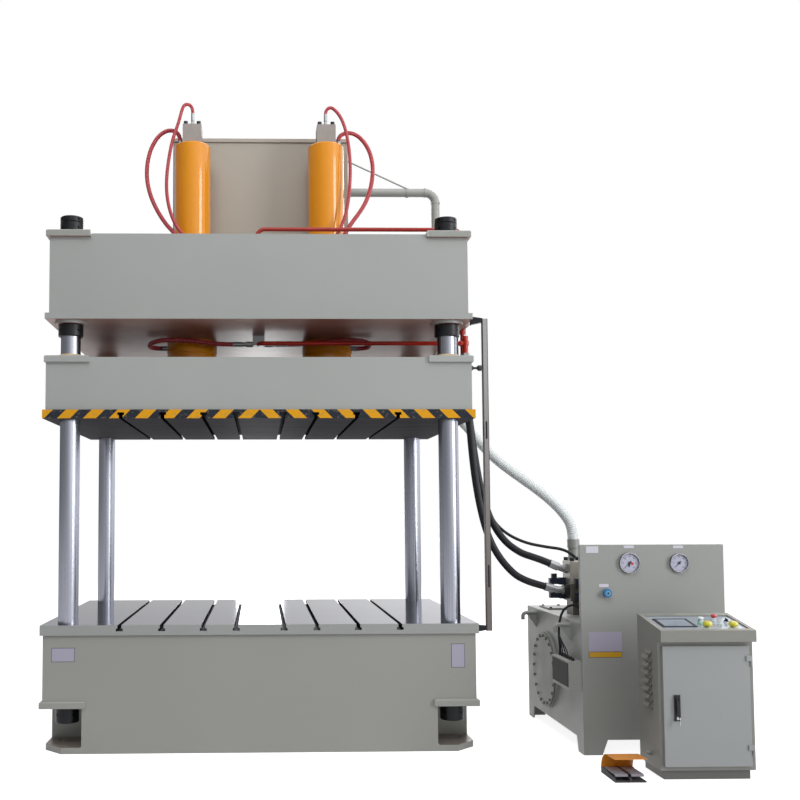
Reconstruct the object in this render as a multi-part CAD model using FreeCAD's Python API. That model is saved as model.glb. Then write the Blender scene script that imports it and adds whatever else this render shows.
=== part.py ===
import FreeCAD, Part
import math
import os

# Four-column hydraulic press with its power station, console and foot switch.
# Millimetres, +Z up, origin on the floor under the middle of the bed, front towards -Y.

# ---------------------------------------------------------------- driving sizes
# Press frame
plate_width = 3200.0
plate_depth = 2060.0
box_step = 20.0
bed_height = 851.0
bolster_thickness = 73.0
foot_thickness = 45.0
foot_chamfer = 140.0
corner_thickness = 50.0
corner_width = 332.0
corner_bevel = 8.0
pocket_height = 281.0
pocket_width = 285.0
pocket_depth = 350.0
pocket_corner_radius = 15.0
foundation_hole_radius = 19.0
foundation_spacing_x = 3000.0
foundation_spacing_y = 1480.0
crown_clearance = 284.0

# Guide columns and their round nuts
column_x = 1423.0
column_y = 878.0
column_radius = 74.0
thread_radius = 60.0
column_end_chamfer = 4.0
column_gap = 0.3
thread_gap = 0.2
nut_radius = 86.0
nut_height = 85.0
lock_ring_height = 42.0
bed_nut_height = 120.0
crown_nut_radius = 93.0
crown_nut_height = 92.0
crown_boss_radius = 120.0
crown_boss_height = 22.0
nut_chamfer = 4.0
pin_hole_radius = 8.0
pin_hole_depth = 24.0

# T-slots in the bolster and the slide plate
slot_places = (174.0, 414.0, 716.0, 1023.0)
slot_neck = 28.0
slot_neck_depth = 24.0
slot_head = 50.0
slot_head_height = 20.0

# Slide
daylight = 1510.0
slide_plate_thickness = 65.0
slide_box_height = 393.0
slide_corner_rise = 11.0
bush_radius = 92.0
bush_running_gap = 0.08
wiper_radius = 104.0
wiper_skirt = 9.0
wiper_height = 24.0
wiper_lip = 3.0
striker_y = -950.0
striker_drop = 74.0
striker_radius = 22.0
striker_neck_radius = 9.0
striker_length = 84.0

# Crown
crown_plate_width = 3180.0
crown_plate_thickness = 45.0
crown_box_width = 3124.0
crown_box_depth = 2008.0
crown_box_height = 601.0
crown_corner_rise = 25.0
crown_step = 38.0

# Cylinders
cylinder_x = 571.0
barrel_radius = 153.0
barrel_bore = 125.0
barrel_rise = 1049.0
barrel_end_thickness = 90.0
barrel_chamfer = 10.0
barrel_gap = 0.3
shoulder_radius = 210.0
shoulder_height = 110.0
gland_height = 60.0
gland_groove = 4.0
gland_gap = 0.1
rod_radius = 110.0
rod_length = 1350.0
piston_height = 160.0
piston_gap = 0.3
piston_grooves = 3
piston_groove = 8.0
rod_flange_radius = 165.0
rod_flange_height = 40.0
port_radius = 16.0

# Valve blocks on the cylinders
valve_block_width = 160.0
valve_block_depth = 170.0
valve_block_height = 172.0
valve_block_bevel = 3.0
cap_screw_radius = 18.0
cap_screw_height = 26.0
cap_screw_socket = 9.0
cap_screw_inset = 22.0
stem_radius = 13.0
stem_height = 120.0

# Header tank, return pipe and stay
header_left = -735.0
header_right = 757.0
header_front = 220.0
header_depth = 760.0
header_height = 1176.0
header_lid = 32.0
header_lip = 23.0
header_eaves = 12.0
header_plate = 8.0
fill_pipe_radius = 45.0
fill_pipe_drop = 92.0
return_pipe_radius = 38.5
return_pipe_y = 700.0
return_pipe_rise = 892.0
return_pipe_stand_off = 41.0
return_pipe_bend = 100.0
return_pipe_drop = 136.0
elbow_ring_wall = 4.0
elbow_ring_width = 14.0
pipe_flange_radius = 62.0
pipe_flange_thickness = 16.0
stay_radius = 7.5
stay_pad = 8.0
stay_end_x = 1376.0
clamp_ring_width = 24.0
clamp_ring_wall = 6.0

# Steel pressure pipes
tube_radius = 17.0
tube_bend = 62.0
tube_gap = 0.3
riser_stand_off = 65.0
rear_riser_y = -290.0
front_riser_y = -400.0
front_riser_radius = 24.0
front_riser_headroom = 14.0
tee_radius = 30.0
tee_half_height = 17.0
tee_reach = 46.0
top_pipe_start = -19.0
top_pipe_rise = 248.0
low_pipe_drop = 74.0
low_pipe_bend = 45.0
riser_drop = 156.0
saddle_height = 60.0
saddle_rise = 64.0
saddle_wall = 26.0
saddle_reach = 50.0
pilot_port_y = -190.0
pilot_port_stand_off = 40.0
pilot_tank_place = (339.0, 813.0)
union_radius = 30.0
union_height = 44.0
distributor_size = 70.0
distributor_height = 80.0

# Manifold under the crown
manifold_x = (-57.0, 40.0)
manifold_y = (-340.0, -240.0)
manifold_height = 76.0
manifold_hose_drop = 63.0

# Screwed hose ends: ferrule radii, and where they stand on the cylinders and the crown
inner_fitting = 15.0
outer_fitting = 18.5
gland_fitting = 20.0
pilot_fitting = 14.0
large_fitting = 33.0
gland_port_inset = 26.0
gland_port_y = -60.0
gland_port_drop = 58.0
outer_port_reach = 109.0
crown_port_x = {"left_inner": -585.0, "left_outer": -648.0, "right_inner": 606.0, "right_outer": 680.0}
crown_port_y = {"left_inner": -275.0, "left_outer": -238.0, "right_inner": -266.0, "right_outer": -215.0}

# Hoses: radii; the routes stand with the hoses below
inner_hose_radius = 14.5
outer_hose_radius = 18.0
gland_hose_radius = 19.5
main_hose_radius = 28.5
pilot_hose_radius = 12.5
cable_radius = 9.0
rib_root_radius = 41.0
rib_crest_radius = 45.0
return_hose_bore = 36.0
rib_pitch = 36.0

# Travel switch bar
bar_stand_off = 75.0
bar_y = -960.0
bar_width = 40.0
bar_depth = 40.0
bar_wall = 4.0
bar_foot_rise = 10.0
bar_head_rise = 16.0
bar_slots = ((1180.0, 1345.0), (2282.0, 2416.0))
bar_slot_width = 14.0
bracket_pad = 8.0
upper_bracket = (32.0, 20.0, -11.0, -29.0)
lower_bracket = (-17.0, -26.0, -57.0, -70.0)

# Power station
station_left = 2311.0
station_width = 1046.0
station_front = -1163.0
station_depth = 1404.0
station_leg_height = 107.0
tank_top = 933.0
gauge_panel_height = 565.0
panel_thickness = 8.0
panel_return = 38.0
leg_plate = 12.0
leg_foot = 134.0
leg_root = 174.0
side_leg_foot = 120.0
side_leg_root = 152.0
manhole_place = (863.0, 367.0)
manhole_radius = 300.0
manhole_ring = 18.0
manhole_cover_radius = 292.0
manhole_cover_thickness = 12.0
manhole_pitch_radius = 268.0
manhole_bolts = 20
bolt_head_radius = 12.0
bolt_head_height = 10.0
hook_places = (1143.0, 263.0)
hook_level = 36.0
hook_reach = 112.0
hook_radius = 15.0
hook_bend = 30.0
hook_drop = 56.0
hook_gusset = 115.0
hatch_place = (69.0, 1013.0)
hatch_size = (180.0, 270.0)
hatch_thickness = 12.0
inlet_place = (374.0, 1293.0)
inlet_height = 522.0
inlet_radius = 45.0
inlet_collar = 50.0
inlet_collar_radius = 51.0

# Valve stack on the station; places and levels count from the tank's front left top corner
stack_place = (109.0, 563.0)
stack_size = (140.0, 196.0)
stack_levels = (107.0, 419.0)
stack_foot_inset = 22.0
stack_bevel = 4.0
valve_rows = (148.0, 257.0)
side_valve_place = 145.0
front_valve_place = 60.0
valve_body = (48.0, 60.0, 56.0)
valve_reach = 124.0
coil_width = 44.0
coil_height = 48.0
coil_plug = (40.0, 30.0, 35.0)
upper_port = (100.0, 357.0)
upper_port_neck = 30.0
upper_ferrule = 110.0
upper_ferrule_tilt = 22.5
lower_port = (40.0, 197.0)
lower_port_neck = 95.0
lower_ferrule = 98.0
lower_ferrule_tilt = 15.0
cable_exit = (60.0, 67.0)
cable_gland_radius = 14.0
cable_gland_length = 22.0

# Motor and pump behind the gauge panel
motor_place = (699.0, 313.0)
motor_length = 430.0
motor_radius = 150.0
motor_shaft_height = 180.0
motor_fins = 18
fin_height = 16.0
fin_thickness = 5.0
fan_cover_length = 110.0
bell_length = 150.0
bell_radius = 115.0
bell_wall = 14.0
pump_length = 190.0
pump_radius = 82.0
shaft_radius = 21.0
shaft_gap = 0.08
coupling_radius = 58.0
coupling_length = 84.0

# Terminal box on the station's left side
terminal_width = 95.0
terminal_set_back = 13.0
terminal_depth = 380.0
terminal_z = (455.0, 661.0)
terminal_cover = 4.0
terminal_cover_margins = (6.0, 22.0, 14.0)
terminal_glands = 6
terminal_gland_margins = (40.0, 45.0)
terminal_gland_inset = 49.0

# Gauges and relief knob on the gauge panel, each placed from its lower left corner
gauge_settings = ((356.0, 434.0, 75.0), (718.0, 433.0, 69.0))
gauge_neck = 0.88
gauge_rise = 22.0
gauge_wall = 6.0
gauge_recess = 13.0
gauge_body = 45.0
needle_thickness = 1.5
needle_pin_radius = 2.5
needle_gap = 0.08
needle_angle = 225.0
knob_place = (188.0, 219.0)
knob_radius = 31.0
knob_length = 36.0
knob_stem_radius = 8.0
knob_stem_gap = 0.1
knob_stem_length = 40.0

# Console
console_left = 2590.0
console_width = 625.0
console_front = -1817.0
console_back = -1485.0
console_lip = 60.0
console_lip_bottom = 891.0
console_lip_top = 966.0
console_top = 1039.0
console_wall = 3.0
plinth_height = 60.0
plinth_inset = 17.0
plinth_side_inset = 30.0
door_margin = 25.0
door_bottom = 88.0
door_top = 861.0
door_depth = 20.0
door_sheet = 2.0
door_seal = 0.3
door_frame = 15.0
hinge_radius = 8.0
hinge_pin_radius = 3.5
hinge_pin_gap = 0.05
hinge_length = 69.0
hinge_places = (190.0, 762.0)
hinge_gap = 0.3
hinge_side = 5.0
hinge_inset = 22.0
hinge_stand_off = 1.0
louvre_count = 8
louvre_top = 816.0
louvre_pitch = 52.0
louvre_y = (-1718.0, -1618.0)
louvre_height = 26.0
louvre_out = 11.0
inset_margin = 26.0
inset_front = 40.0
inset_back = 57.0
inset_drop = 8.0
inset_sheet = 4.0
inset_ledge = 12.0

# Console controls, each (x, distance up the slope from the lip, radius)
screen_x = (2646.0, 2878.0)
screen_s = (99.0, 280.0)
screen_rise = 5.0
screen_body = 36.0
screen_margin = 10.0
stop_place = (3046.0, 236.0)
palm_places = ((2939.0, 96.0), (3107.0, 88.0))
white_place = (2953.0, 225.0)
lamp_place = (2925.0, 170.0)
green_place = (3034.0, 125.0)
selector_place = (3115.0, 200.0)
palm_radius = 30.0
palm_height = 27.0
stop_radius = 19.0
stop_height = 16.0
stop_collar = 24.0
white_radius = 19.0
white_height = 12.0
white_collar = 14.0
push_radius = 13.0
push_height = 7.0
collar_wall = 4.0
collar_height = 9.0
stem_gap = 0.1
button_stem_radius = 9.0
button_stem_length = 26.0
button_travel = 5.0

# Lock handle on the console door
lock_x = 2701.0
lock_z = (382.0, 548.0)
lock_width = 40.0
lock_depth = 9.0
lever_width = 24.0
lever_depth = 13.0
lever_pivot_drop = 20.0
hub_radius = 12.0
key_bow = 15.0
key_drop = 26.0
key_rise = 17.0
lever_play = 0.5
lever_end_rise = 44.0

# Control gear inside the console: each (from the plate's left edge, width, depth, lower level, height)
gear_plate_inset = 40.0
gear_plate_z = (170.0, 780.0)
gear_plate_thickness = 4.0
gear_stand_off = 20.0
gear_spacer_inset = 10.0
gear_spacer_levels = (190.0, 740.0)
gear_units = ((40.0, 65.0, 82.0, 330.0, 85.0), (120.0, 65.0, 82.0, 330.0, 85.0),
              (200.0, 65.0, 82.0, 330.0, 85.0),
              (280.0, 65.0, 82.0, 330.0, 85.0), (360.0, 65.0, 82.0, 330.0, 85.0),
              (40.0, 220.0, 75.0, 560.0, 130.0),
              (300.0, 120.0, 110.0, 550.0, 160.0), (40.0, 458.0, 45.0, 210.0, 52.0))

# Foot switch
pedal_left = 2275.0
pedal_width = 203.0
pedal_front = -1868.0
pedal_back = -1610.0
pedal_base_height = 8.0
pedal_wall = 5.0
pedal_wall_height = 34.0
pedal_wall_rise = 8.0
pedal_lug = 30.0
hood_sheet = 2.5
hood_top = 145.0
hood_radius = 120.0
hood_reach = 256.0
hood_tip_rise = 2.0
pedal_plate = 6.0
pedal_pitch_gap = 16.0
pedal_pivot_y = -1632.0
pedal_pivot_z = 32.0
pedal_pin_radius = 4.0
pedal_pin_gap = 0.06
pedal_length = 208.0
pedal_rise = 3.0

# ---------------------------------------------------------------- levels worked out
half_width = plate_width / 2
half_depth = plate_depth / 2
box_half_width = half_width - box_step
box_half_depth = half_depth - box_step
bolster_top = bed_height + bolster_thickness
shelf_bottom = foot_thickness + pocket_height
shelf_top = shelf_bottom + corner_thickness
slide_bottom = bolster_top + daylight
slide_box_bottom = slide_bottom + slide_plate_thickness
slide_top = slide_box_bottom + slide_box_height
slide_corner_top = slide_top + slide_corner_rise
crown_bottom = slide_top + crown_clearance
crown_box_bottom = crown_bottom + crown_plate_thickness
crown_top = crown_box_bottom + crown_box_height
crown_corner_top = crown_top + crown_corner_rise
crown_half_width = crown_box_width / 2
crown_half_depth = crown_box_depth / 2
barrel_top = crown_top + barrel_rise
shoulder_bottom = crown_bottom - shoulder_height
gland_bottom = shoulder_bottom - gland_height
valve_block_top = barrel_top + valve_block_height
header_top = crown_top + header_height
clear_side = max(half_width, crown_half_width + crown_step)
riser_x = clear_side + riser_stand_off
return_pipe_x = clear_side + return_pipe_stand_off
pilot_port_x = clear_side + pilot_port_stand_off
bar_x = half_width + bar_stand_off
bar_bottom = bed_height + bar_foot_rise
bar_top = crown_bottom + bar_head_rise
riser_end = crown_bottom - riser_drop
return_pipe_end = crown_bottom - return_pipe_drop
return_pipe_z = crown_top + return_pipe_rise
saddle_bottom = crown_bottom + saddle_rise
top_pipe_z = crown_top + top_pipe_rise
low_pipe_z = crown_bottom - low_pipe_drop
under_crown_z = crown_bottom - manifold_hose_drop
gland_port_x = cylinder_x + shoulder_radius - gland_port_inset
gland_port_z = crown_bottom - gland_port_drop
station_right = station_left + station_width
station_back = station_front + station_depth
panel_top = tank_top + gauge_panel_height
hook_height = tank_top - hook_level
manhole_y = station_front + manhole_place[0]
manhole_z = station_leg_height + manhole_place[1]
hatch_x = (station_left + hatch_place[0], station_left + hatch_place[0] + hatch_size[0])
hatch_y = (station_front + hatch_place[1], station_front + hatch_place[1] + hatch_size[1])
inlet_x = station_left + inlet_place[0]
inlet_y = station_front + inlet_place[1]
inlet_top = tank_top + inlet_height
stack_x = (station_left + stack_place[0], station_left + stack_place[0] + stack_size[0])
stack_y = (station_front + stack_place[1], station_front + stack_place[1] + stack_size[1])
stack_z = (tank_top + stack_levels[0], tank_top + stack_levels[1])
motor_x = station_left + motor_place[0]
motor_front = station_front + motor_place[1]
terminal_front = station_front + terminal_set_back
terminal_gland_run = terminal_depth - sum(terminal_gland_margins)
gauge_places = [(station_left + x, tank_top + z, radius) for x, z, radius in gauge_settings]
knob_x = station_left + knob_place[0]
knob_z = tank_top + knob_place[1]
console_right = console_left + console_width
hinge_x = console_right - hinge_inset
hinge_y = console_front - door_depth - hinge_stand_off
lock_face = console_front - door_depth - lock_depth
pivot_y = lock_face - lever_depth / 2 - lever_play
pivot_z = lock_z[1] - lever_pivot_drop
key_z = lock_z[0] + key_rise
pedal_right = pedal_left + pedal_width
pedal_middle = pedal_left + pedal_width / 2
slope = math.atan2(console_top - console_lip_top, console_back - console_front + console_lip)
slope_length = (console_top - console_lip_top) / math.sin(slope)

X = FreeCAD.Vector(1, 0, 0)
Y = FreeCAD.Vector(0, 1, 0)
Z = FreeCAD.Vector(0, 0, 1)


# ---------------------------------------------------------------- shape helpers
def point(x, y, z):
    return FreeCAD.Vector(x, y, z)


def block(x, y, z):
    """Rectangular block between three pairs of limits."""
    return Part.makeBox(x[1] - x[0], y[1] - y[0], z[1] - z[0], point(x[0], y[0], z[0]))


def round_bar(radius, start, end):
    axis = end.sub(start)
    return Part.makeCylinder(radius, axis.Length, start, axis)


def prism(outline, run):
    """Closed outline of points pushed along a vector."""
    return Part.Face(Part.makePolygon(outline + [outline[0]])).extrude(run)


def turned(profile, base, axis=Z):
    """Closed (radius, height) profile spun about an axis through the base point."""
    outline = [point(radius, 0, height) for radius, height in profile]
    solid = Part.Face(Part.makePolygon(outline + [outline[0]])).revolve(point(0, 0, 0), Z, 360)
    solid.Placement = FreeCAD.Placement(base, FreeCAD.Rotation(Z, axis))
    return solid


def hexagon(radius, height, base, axis=Z):
    corners = [point(radius * math.cos(math.radians(60 * n)), radius * math.sin(math.radians(60 * n)), 0)
               for n in range(6)]
    solid = prism(corners, point(0, 0, height))
    solid.Placement = FreeCAD.Placement(base, FreeCAD.Rotation(Z, axis))
    return solid


def fused(shapes):
    return shapes[0].multiFuse(shapes[1:]).removeSplitter()


def both_sides(shape, middle=0.0):
    """The shape and its mirror image across the plane x = middle."""
    return [shape, shape.mirror(point(middle, 0, 0), X)]


def four_corners(shape, middle_x=0.0, middle_y=0.0):
    """The shape at all four corners about a centre."""
    pair = both_sides(shape, middle_x)
    return pair + [one.mirror(point(middle_x, middle_y, 0), Y) for one in pair]


def bolt_circle(shape, centre, axis, count, first=0.0):
    copies = []
    for n in range(count):
        copy = shape.copy()
        copy.rotate(centre, axis, first + 360.0 * n / count)
        copies.append(copy)
    return copies


def tangent_route(points, bend=None):
    """Straight runs joined by tangent arcs: of one bend radius, or as wide as the runs allow."""
    edges = []
    radii = []
    here = points[0]
    for before, corner, after in zip(points, points[1:], points[2:]):
        arriving = corner.sub(before)
        leaving = after.sub(corner)
        half_turn = arriving.getAngle(leaving) / 2
        reach = bend * math.tan(half_turn) if bend else 0.45 * min(arriving.Length, leaving.Length)
        radius = reach / math.tan(half_turn)
        arriving.normalize()
        leaving.normalize()
        inward = leaving.sub(arriving).normalize()
        start = corner - arriving * reach
        end = corner + leaving * reach
        middle = corner + inward * (radius / math.cos(half_turn) - radius)
        edges.append(Part.LineSegment(here, start).toShape())
        edges.append(Part.Arc(start, middle, end).toShape())
        radii.append(radius)
        here = end
    edges.append(Part.LineSegment(here, points[-1]).toShape())
    return edges, radii


def tube(points, radius, bend=None):
    """Round bar bent along a route."""
    edges, radii = tangent_route(points, bend)
    ring = Part.Wire(Part.makeCircle(radius, points[0], points[1].sub(points[0])))
    return Part.Wire(edges).makePipeShell([ring], True, False)


def hung_between(route, start, start_heading, end, end_heading):
    """A measured route moved to end on two ports, its first and last runs square to them."""
    places = [point(*place) for place in route]
    legs = [0.0]
    for one, other in zip(places, places[1:]):
        legs.append(legs[-1] + other.sub(one).Length)
    start_shift = start - places[0]
    end_shift = end - places[-1]
    moved = [place + start_shift * (1 - leg / legs[-1]) + end_shift * (leg / legs[-1])
             for place, leg in zip(places, legs)]
    moved[1] = start + start_heading * legs[1]
    moved[-2] = end + end_heading * (legs[-1] - legs[-2])
    return moved


def hose(name, points, radius):
    """Plain hose; prints its length, tightest bend and volume against section times length."""
    edges, radii = tangent_route(points)
    solid = tube(points, radius)
    length = sum(edge.Length for edge in edges)
    volume = solid.Volume / (math.pi * radius * radius * length)
    print(f"{name}: length {length:.0f} mm, tightest bend {min(radii):.0f} mm, volume ratio {volume:.4f}")
    return solid


def ribbed_hose(name, points, root, crest, bore, pitch):
    """Hose with ring-shaped ribs between two plain cuffs, and a bore all the way through."""
    edges, radii = tangent_route(points)
    length = sum(edge.Length for edge in edges)
    cuff = 2 * crest
    ribs = int((length - 2 * cuff) / pitch)
    step = (length - 2 * cuff) / ribs
    rings = [(0.0, crest), (cuff, crest)]
    for n in range(ribs):
        low = cuff + n * step
        rings += [(low + 0.15 * step, root), (low + 0.4 * step, root), (low + 0.6 * step, crest),
                  (low + 0.95 * step, crest)]
    rings.append((length - cuff, crest))
    rings.append((length, crest))
    circles = []
    for distance, radius in rings:
        place, heading = station(edges, distance)
        ring = Part.Wire(Part.makeCircle(radius))
        ring.Placement = FreeCAD.Placement(place, FreeCAD.Rotation(Y, Y, heading, "ZXY"))
        circles.append(ring)
    solid = Part.makeLoft(circles, True, True).cut(tube(points, bore))
    section = math.pi * (crest * crest - bore * bore)
    print(f"{name}: length {length:.0f} mm, {ribs} ribs, tightest bend {min(radii):.0f} mm, "
          f"volume ratio {solid.Volume / (section * length):.4f} of a plain tube")
    return solid


def station(edges, distance):
    """Place and heading at a distance along a route."""
    for edge in edges:
        if distance <= edge.Length or edge is edges[-1]:
            at = edge.getParameterByLength(min(distance, edge.Length))
            return edge.valueAt(at), edge.tangentAt(at)
        distance -= edge.Length


def pipe_fitting(base, axis, length, radius):
    """Hexagon nut, neck and ferrule of a hose end, from its seat outwards."""
    nut = hexagon(radius * 1.12, length * 0.35, base, axis)
    neck = round_bar(radius * 0.8, base, base + axis * length)
    ferrule = round_bar(radius, base + axis * (length * 0.45), base + axis * length)
    return fused([nut, neck, ferrule])


def leaning(angle):
    """Heading away from the stack's left face, raised by an angle."""
    return point(-math.cos(math.radians(angle)), 0, math.sin(math.radians(angle)))


def elbow_fitting(seat, neck, ferrule, tilt, radius):
    """Nut and straight neck along -X, then a ferrule raised by the tilt."""
    bend = seat - X * neck
    nut = hexagon(radius * 1.12, neck * 0.6, seat, X * -1)
    straight = round_bar(radius * 0.8, seat, bend)
    knee = Part.makeSphere(radius * 0.8, bend)
    neck_up = round_bar(radius * 0.8, bend, bend + leaning(tilt) * ferrule)
    sleeve = round_bar(radius, bend + leaning(tilt) * (ferrule * 0.35), bend + leaning(tilt) * ferrule)
    return fused([nut, straight, knee, neck_up, sleeve])


def save(name, shapes):
    """Writes one node, a single solid or a group of like solids."""
    whole = shapes[0] if len(shapes) == 1 else Part.makeCompound(shapes)
    whole.exportStep(f"parts/{name}.step")
    solids = whole.Solids
    print(f"{name}: {len(solids)} solids, {whole.Volume / 1e9:.4f} m3, valid {whole.isValid()}")


os.makedirs("parts", exist_ok=True)


# ---------------------------------------------------------------- press frame
def column_places():
    return [(side * column_x, end * column_y) for side in (-1, 1) for end in (-1, 1)]


def bevelled_plate(x, y, z, bevel):
    """Flat plate with its upper edges bevelled."""
    plate = block(x, y, z)
    top_edges = [edge for edge in plate.Edges if all(abs(v.Z - z[1]) < 1e-6 for v in edge.Vertexes)]
    return plate.makeChamfer(bevel, top_edges)


def corner_plates(outer_x, bottom, top):
    return four_corners(bevelled_plate((outer_x - corner_width, outer_x),
                                       (half_depth - corner_width, half_depth),
                                       (bottom, top), corner_bevel))


def column_holes(radius, bottom, top):
    return [round_bar(radius, point(x, y, bottom), point(x, y, top)) for x, y in column_places()]


def tee_slots(face, direction):
    """Tee slots running front to back, opening at a face level; direction points into the metal."""
    neck = slot_neck / 2
    head = slot_head / 2
    cuts = []
    for place in slot_places:
        for x in (-place, place):
            levels = (face, face + direction * slot_neck_depth,
                      face + direction * (slot_neck_depth + slot_head_height))
            outline = [(x - neck, levels[0]), (x + neck, levels[0]), (x + neck, levels[1]),
                       (x + head, levels[1]),
                       (x + head, levels[2]), (x - head, levels[2]), (x - head, levels[1]),
                       (x - neck, levels[1])]
            cuts.append(prism([point(across, -half_depth, level) for across, level in outline],
                              point(0, plate_depth, 0)))
    return cuts


def bed_weldment():
    foot = block((-box_half_width, box_half_width), (-box_half_depth, box_half_depth), (0, foot_thickness))
    upright = [edge for edge in foot.Edges if abs(edge.Vertexes[0].Z - edge.Vertexes[-1].Z) > 1]
    foot = foot.makeChamfer(foot_chamfer, upright)
    body = block((-box_half_width, box_half_width), (-box_half_depth, box_half_depth),
                 (foot_thickness, bed_height))
    pocket = block((box_half_width - pocket_width, box_half_width + 1),
                   (box_half_depth - pocket_depth, box_half_depth + 1), (foot_thickness, shelf_bottom))
    inner_edge = [edge for edge in pocket.Edges
                  if all(abs(v.X - box_half_width + pocket_width) < 1e-6 and abs(v.Z - foot_thickness) < 1e-6
                         for v in edge.Vertexes)]
    pocket = pocket.makeFillet(pocket_corner_radius, inner_edge)
    frame = body.cut(Part.makeCompound(four_corners(pocket)))
    frame = fused([frame, foot] + corner_plates(half_width, shelf_bottom, shelf_top))
    anchors = four_corners(round_bar(foundation_hole_radius,
                                     point(foundation_spacing_x / 2, foundation_spacing_y / 2, -1),
                                     point(foundation_spacing_x / 2, foundation_spacing_y / 2,
                                           foot_thickness + 1)))
    return frame.cut(anchors + column_holes(column_radius + column_gap, shelf_bottom - 1, bed_height + 1))


def bolster_plate():
    plate = block((-half_width, half_width), (-half_depth, half_depth), (bed_height, bolster_top))
    holes = column_holes(column_radius + column_gap, bed_height - 1, bolster_top + 1)
    return plate.cut(tee_slots(bolster_top, -1) + holes)


def guide_columns():
    low = shelf_bottom - bed_nut_height + column_end_chamfer
    high = crown_corner_top + nut_height + lock_ring_height - column_end_chamfer
    end = thread_radius - column_end_chamfer
    profile = [(0, low), (end, low), (thread_radius, low + column_end_chamfer), (thread_radius, shelf_bottom),
               (column_radius, shelf_bottom), (column_radius, crown_corner_top),
               (thread_radius, crown_corner_top),
               (thread_radius, high - column_end_chamfer), (end, high), (0, high)]
    return [turned(profile, point(x, y, 0)) for x, y in column_places()]


def round_nut(inner, outer, bottom, height):
    """Round nut with bevelled rims and four radial holes for the tommy bar."""
    profile = [(inner, bottom), (outer - nut_chamfer, bottom), (outer, bottom + nut_chamfer),
               (outer, bottom + height - nut_chamfer), (outer - nut_chamfer, bottom + height),
               (inner, bottom + height)]
    hole = round_bar(pin_hole_radius, point(outer - pin_hole_depth, 0, bottom + height / 2),
                     point(outer + 1, 0, bottom + height / 2))
    return turned(profile, point(0, 0, 0)).cut(bolt_circle(hole, point(0, 0, 0), Z, 4, 45))


def column_nuts():
    thread = thread_radius + thread_gap
    stack = [round_nut(thread, nut_radius, shelf_bottom - bed_nut_height, bed_nut_height),
             round_nut(column_radius + thread_gap, crown_nut_radius,
                       crown_bottom - crown_boss_height - crown_nut_height, crown_nut_height),
             round_nut(thread, nut_radius, crown_corner_top, nut_height),
             round_nut(thread, nut_radius, crown_corner_top + nut_height, lock_ring_height)]
    return [nut.translated(point(x, y, 0)) for x, y in column_places() for nut in stack]


def crown_weldment():
    plate = block((-crown_plate_width / 2, crown_plate_width / 2), (-half_depth + corner_bevel,
                  half_depth - corner_bevel), (crown_bottom, crown_box_bottom))
    body = block((-crown_half_width, crown_half_width), (-crown_half_depth, crown_half_depth),
                 (crown_box_bottom, crown_top))
    bosses = [round_bar(crown_boss_radius, point(x, y, crown_bottom - crown_boss_height),
                        point(x, y, crown_bottom))
              for x, y in column_places()]
    saddle = block((crown_half_width, riser_x + saddle_wall), (rear_riser_y - 3 * saddle_reach,
                   rear_riser_y + 3 * saddle_reach), (saddle_bottom, saddle_bottom + saddle_height))
    clip = block((crown_half_width, return_pipe_x + return_pipe_radius + 2 * clamp_ring_wall),
                 (return_pipe_y - saddle_reach, return_pipe_y + saddle_reach),
                 (crown_top - 4 * saddle_height, crown_top - 3.3 * saddle_height))
    frame = fused([body, plate, saddle, clip] + bosses
                  + corner_plates(crown_half_width + corner_width / 14, crown_corner_top - corner_thickness,
                                  crown_corner_top))
    barrels = [round_bar(barrel_radius + barrel_gap, point(side * cylinder_x, 0, crown_bottom - 1),
                         point(side * cylinder_x, 0, crown_top + 1)) for side in (-1, 1)]
    riser = round_bar(tube_radius + tube_gap, point(riser_x, rear_riser_y, crown_bottom),
                      point(riser_x, rear_riser_y, crown_top))
    return_way = round_bar(return_pipe_radius + tube_gap, point(return_pipe_x, return_pipe_y, crown_bottom),
                           point(return_pipe_x, return_pipe_y, crown_top))
    columns = column_holes(column_radius + column_gap, crown_bottom - crown_boss_height - 1,
                           crown_corner_top + 1)
    return frame.cut(barrels + columns + [riser, return_way])


save("bed_weldment", [bed_weldment()])
save("bolster_plate", [bolster_plate()])
save("guide_columns", guide_columns())
save("column_nuts", column_nuts())
save("crown_weldment", [crown_weldment()])


# ---------------------------------------------------------------- slide
def slide_weldment():
    body = block((-box_half_width, box_half_width), (-box_half_depth, box_half_depth),
                 (slide_box_bottom, slide_top))
    spool = turned([(0, 0), (striker_radius, 0), (striker_radius, striker_length * 0.15),
                    (striker_neck_radius, striker_length * 0.35), (striker_neck_radius, striker_length * 0.6),
                    (striker_radius, striker_length * 0.75), (striker_radius, striker_length),
                    (0, striker_length)],
                   point(box_half_width, striker_y, slide_top - striker_drop), X)
    frame = fused([body, spool] + corner_plates(box_half_width + slide_corner_rise,
                                                slide_corner_top - corner_thickness, slide_corner_top))
    return frame.cut(column_holes(bush_radius + barrel_gap / 6, slide_box_bottom - 1, slide_corner_top + 1))


def slide_plate():
    plate = block((-half_width, half_width), (-half_depth, half_depth), (slide_bottom, slide_box_bottom))
    holes = column_holes(column_radius + wiper_lip, slide_bottom - 1, slide_box_bottom + 1)
    return plate.cut(tee_slots(slide_bottom, 1) + holes)


def guide_bushes():
    """Guide bush with the cone-shaped wiper ring that stands on the slide's corner plate."""
    bore = column_radius + bush_running_gap
    wiper_top = slide_corner_top + wiper_height
    profile = [(bore, slide_box_bottom), (bush_radius, slide_box_bottom), (bush_radius, slide_corner_top),
               (wiper_radius, slide_corner_top), (wiper_radius, slide_corner_top + wiper_skirt),
               (bore + wiper_lip, wiper_top), (bore, wiper_top - wiper_lip)]
    return [turned(profile, point(x, y, 0)) for x, y in column_places()]


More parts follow.
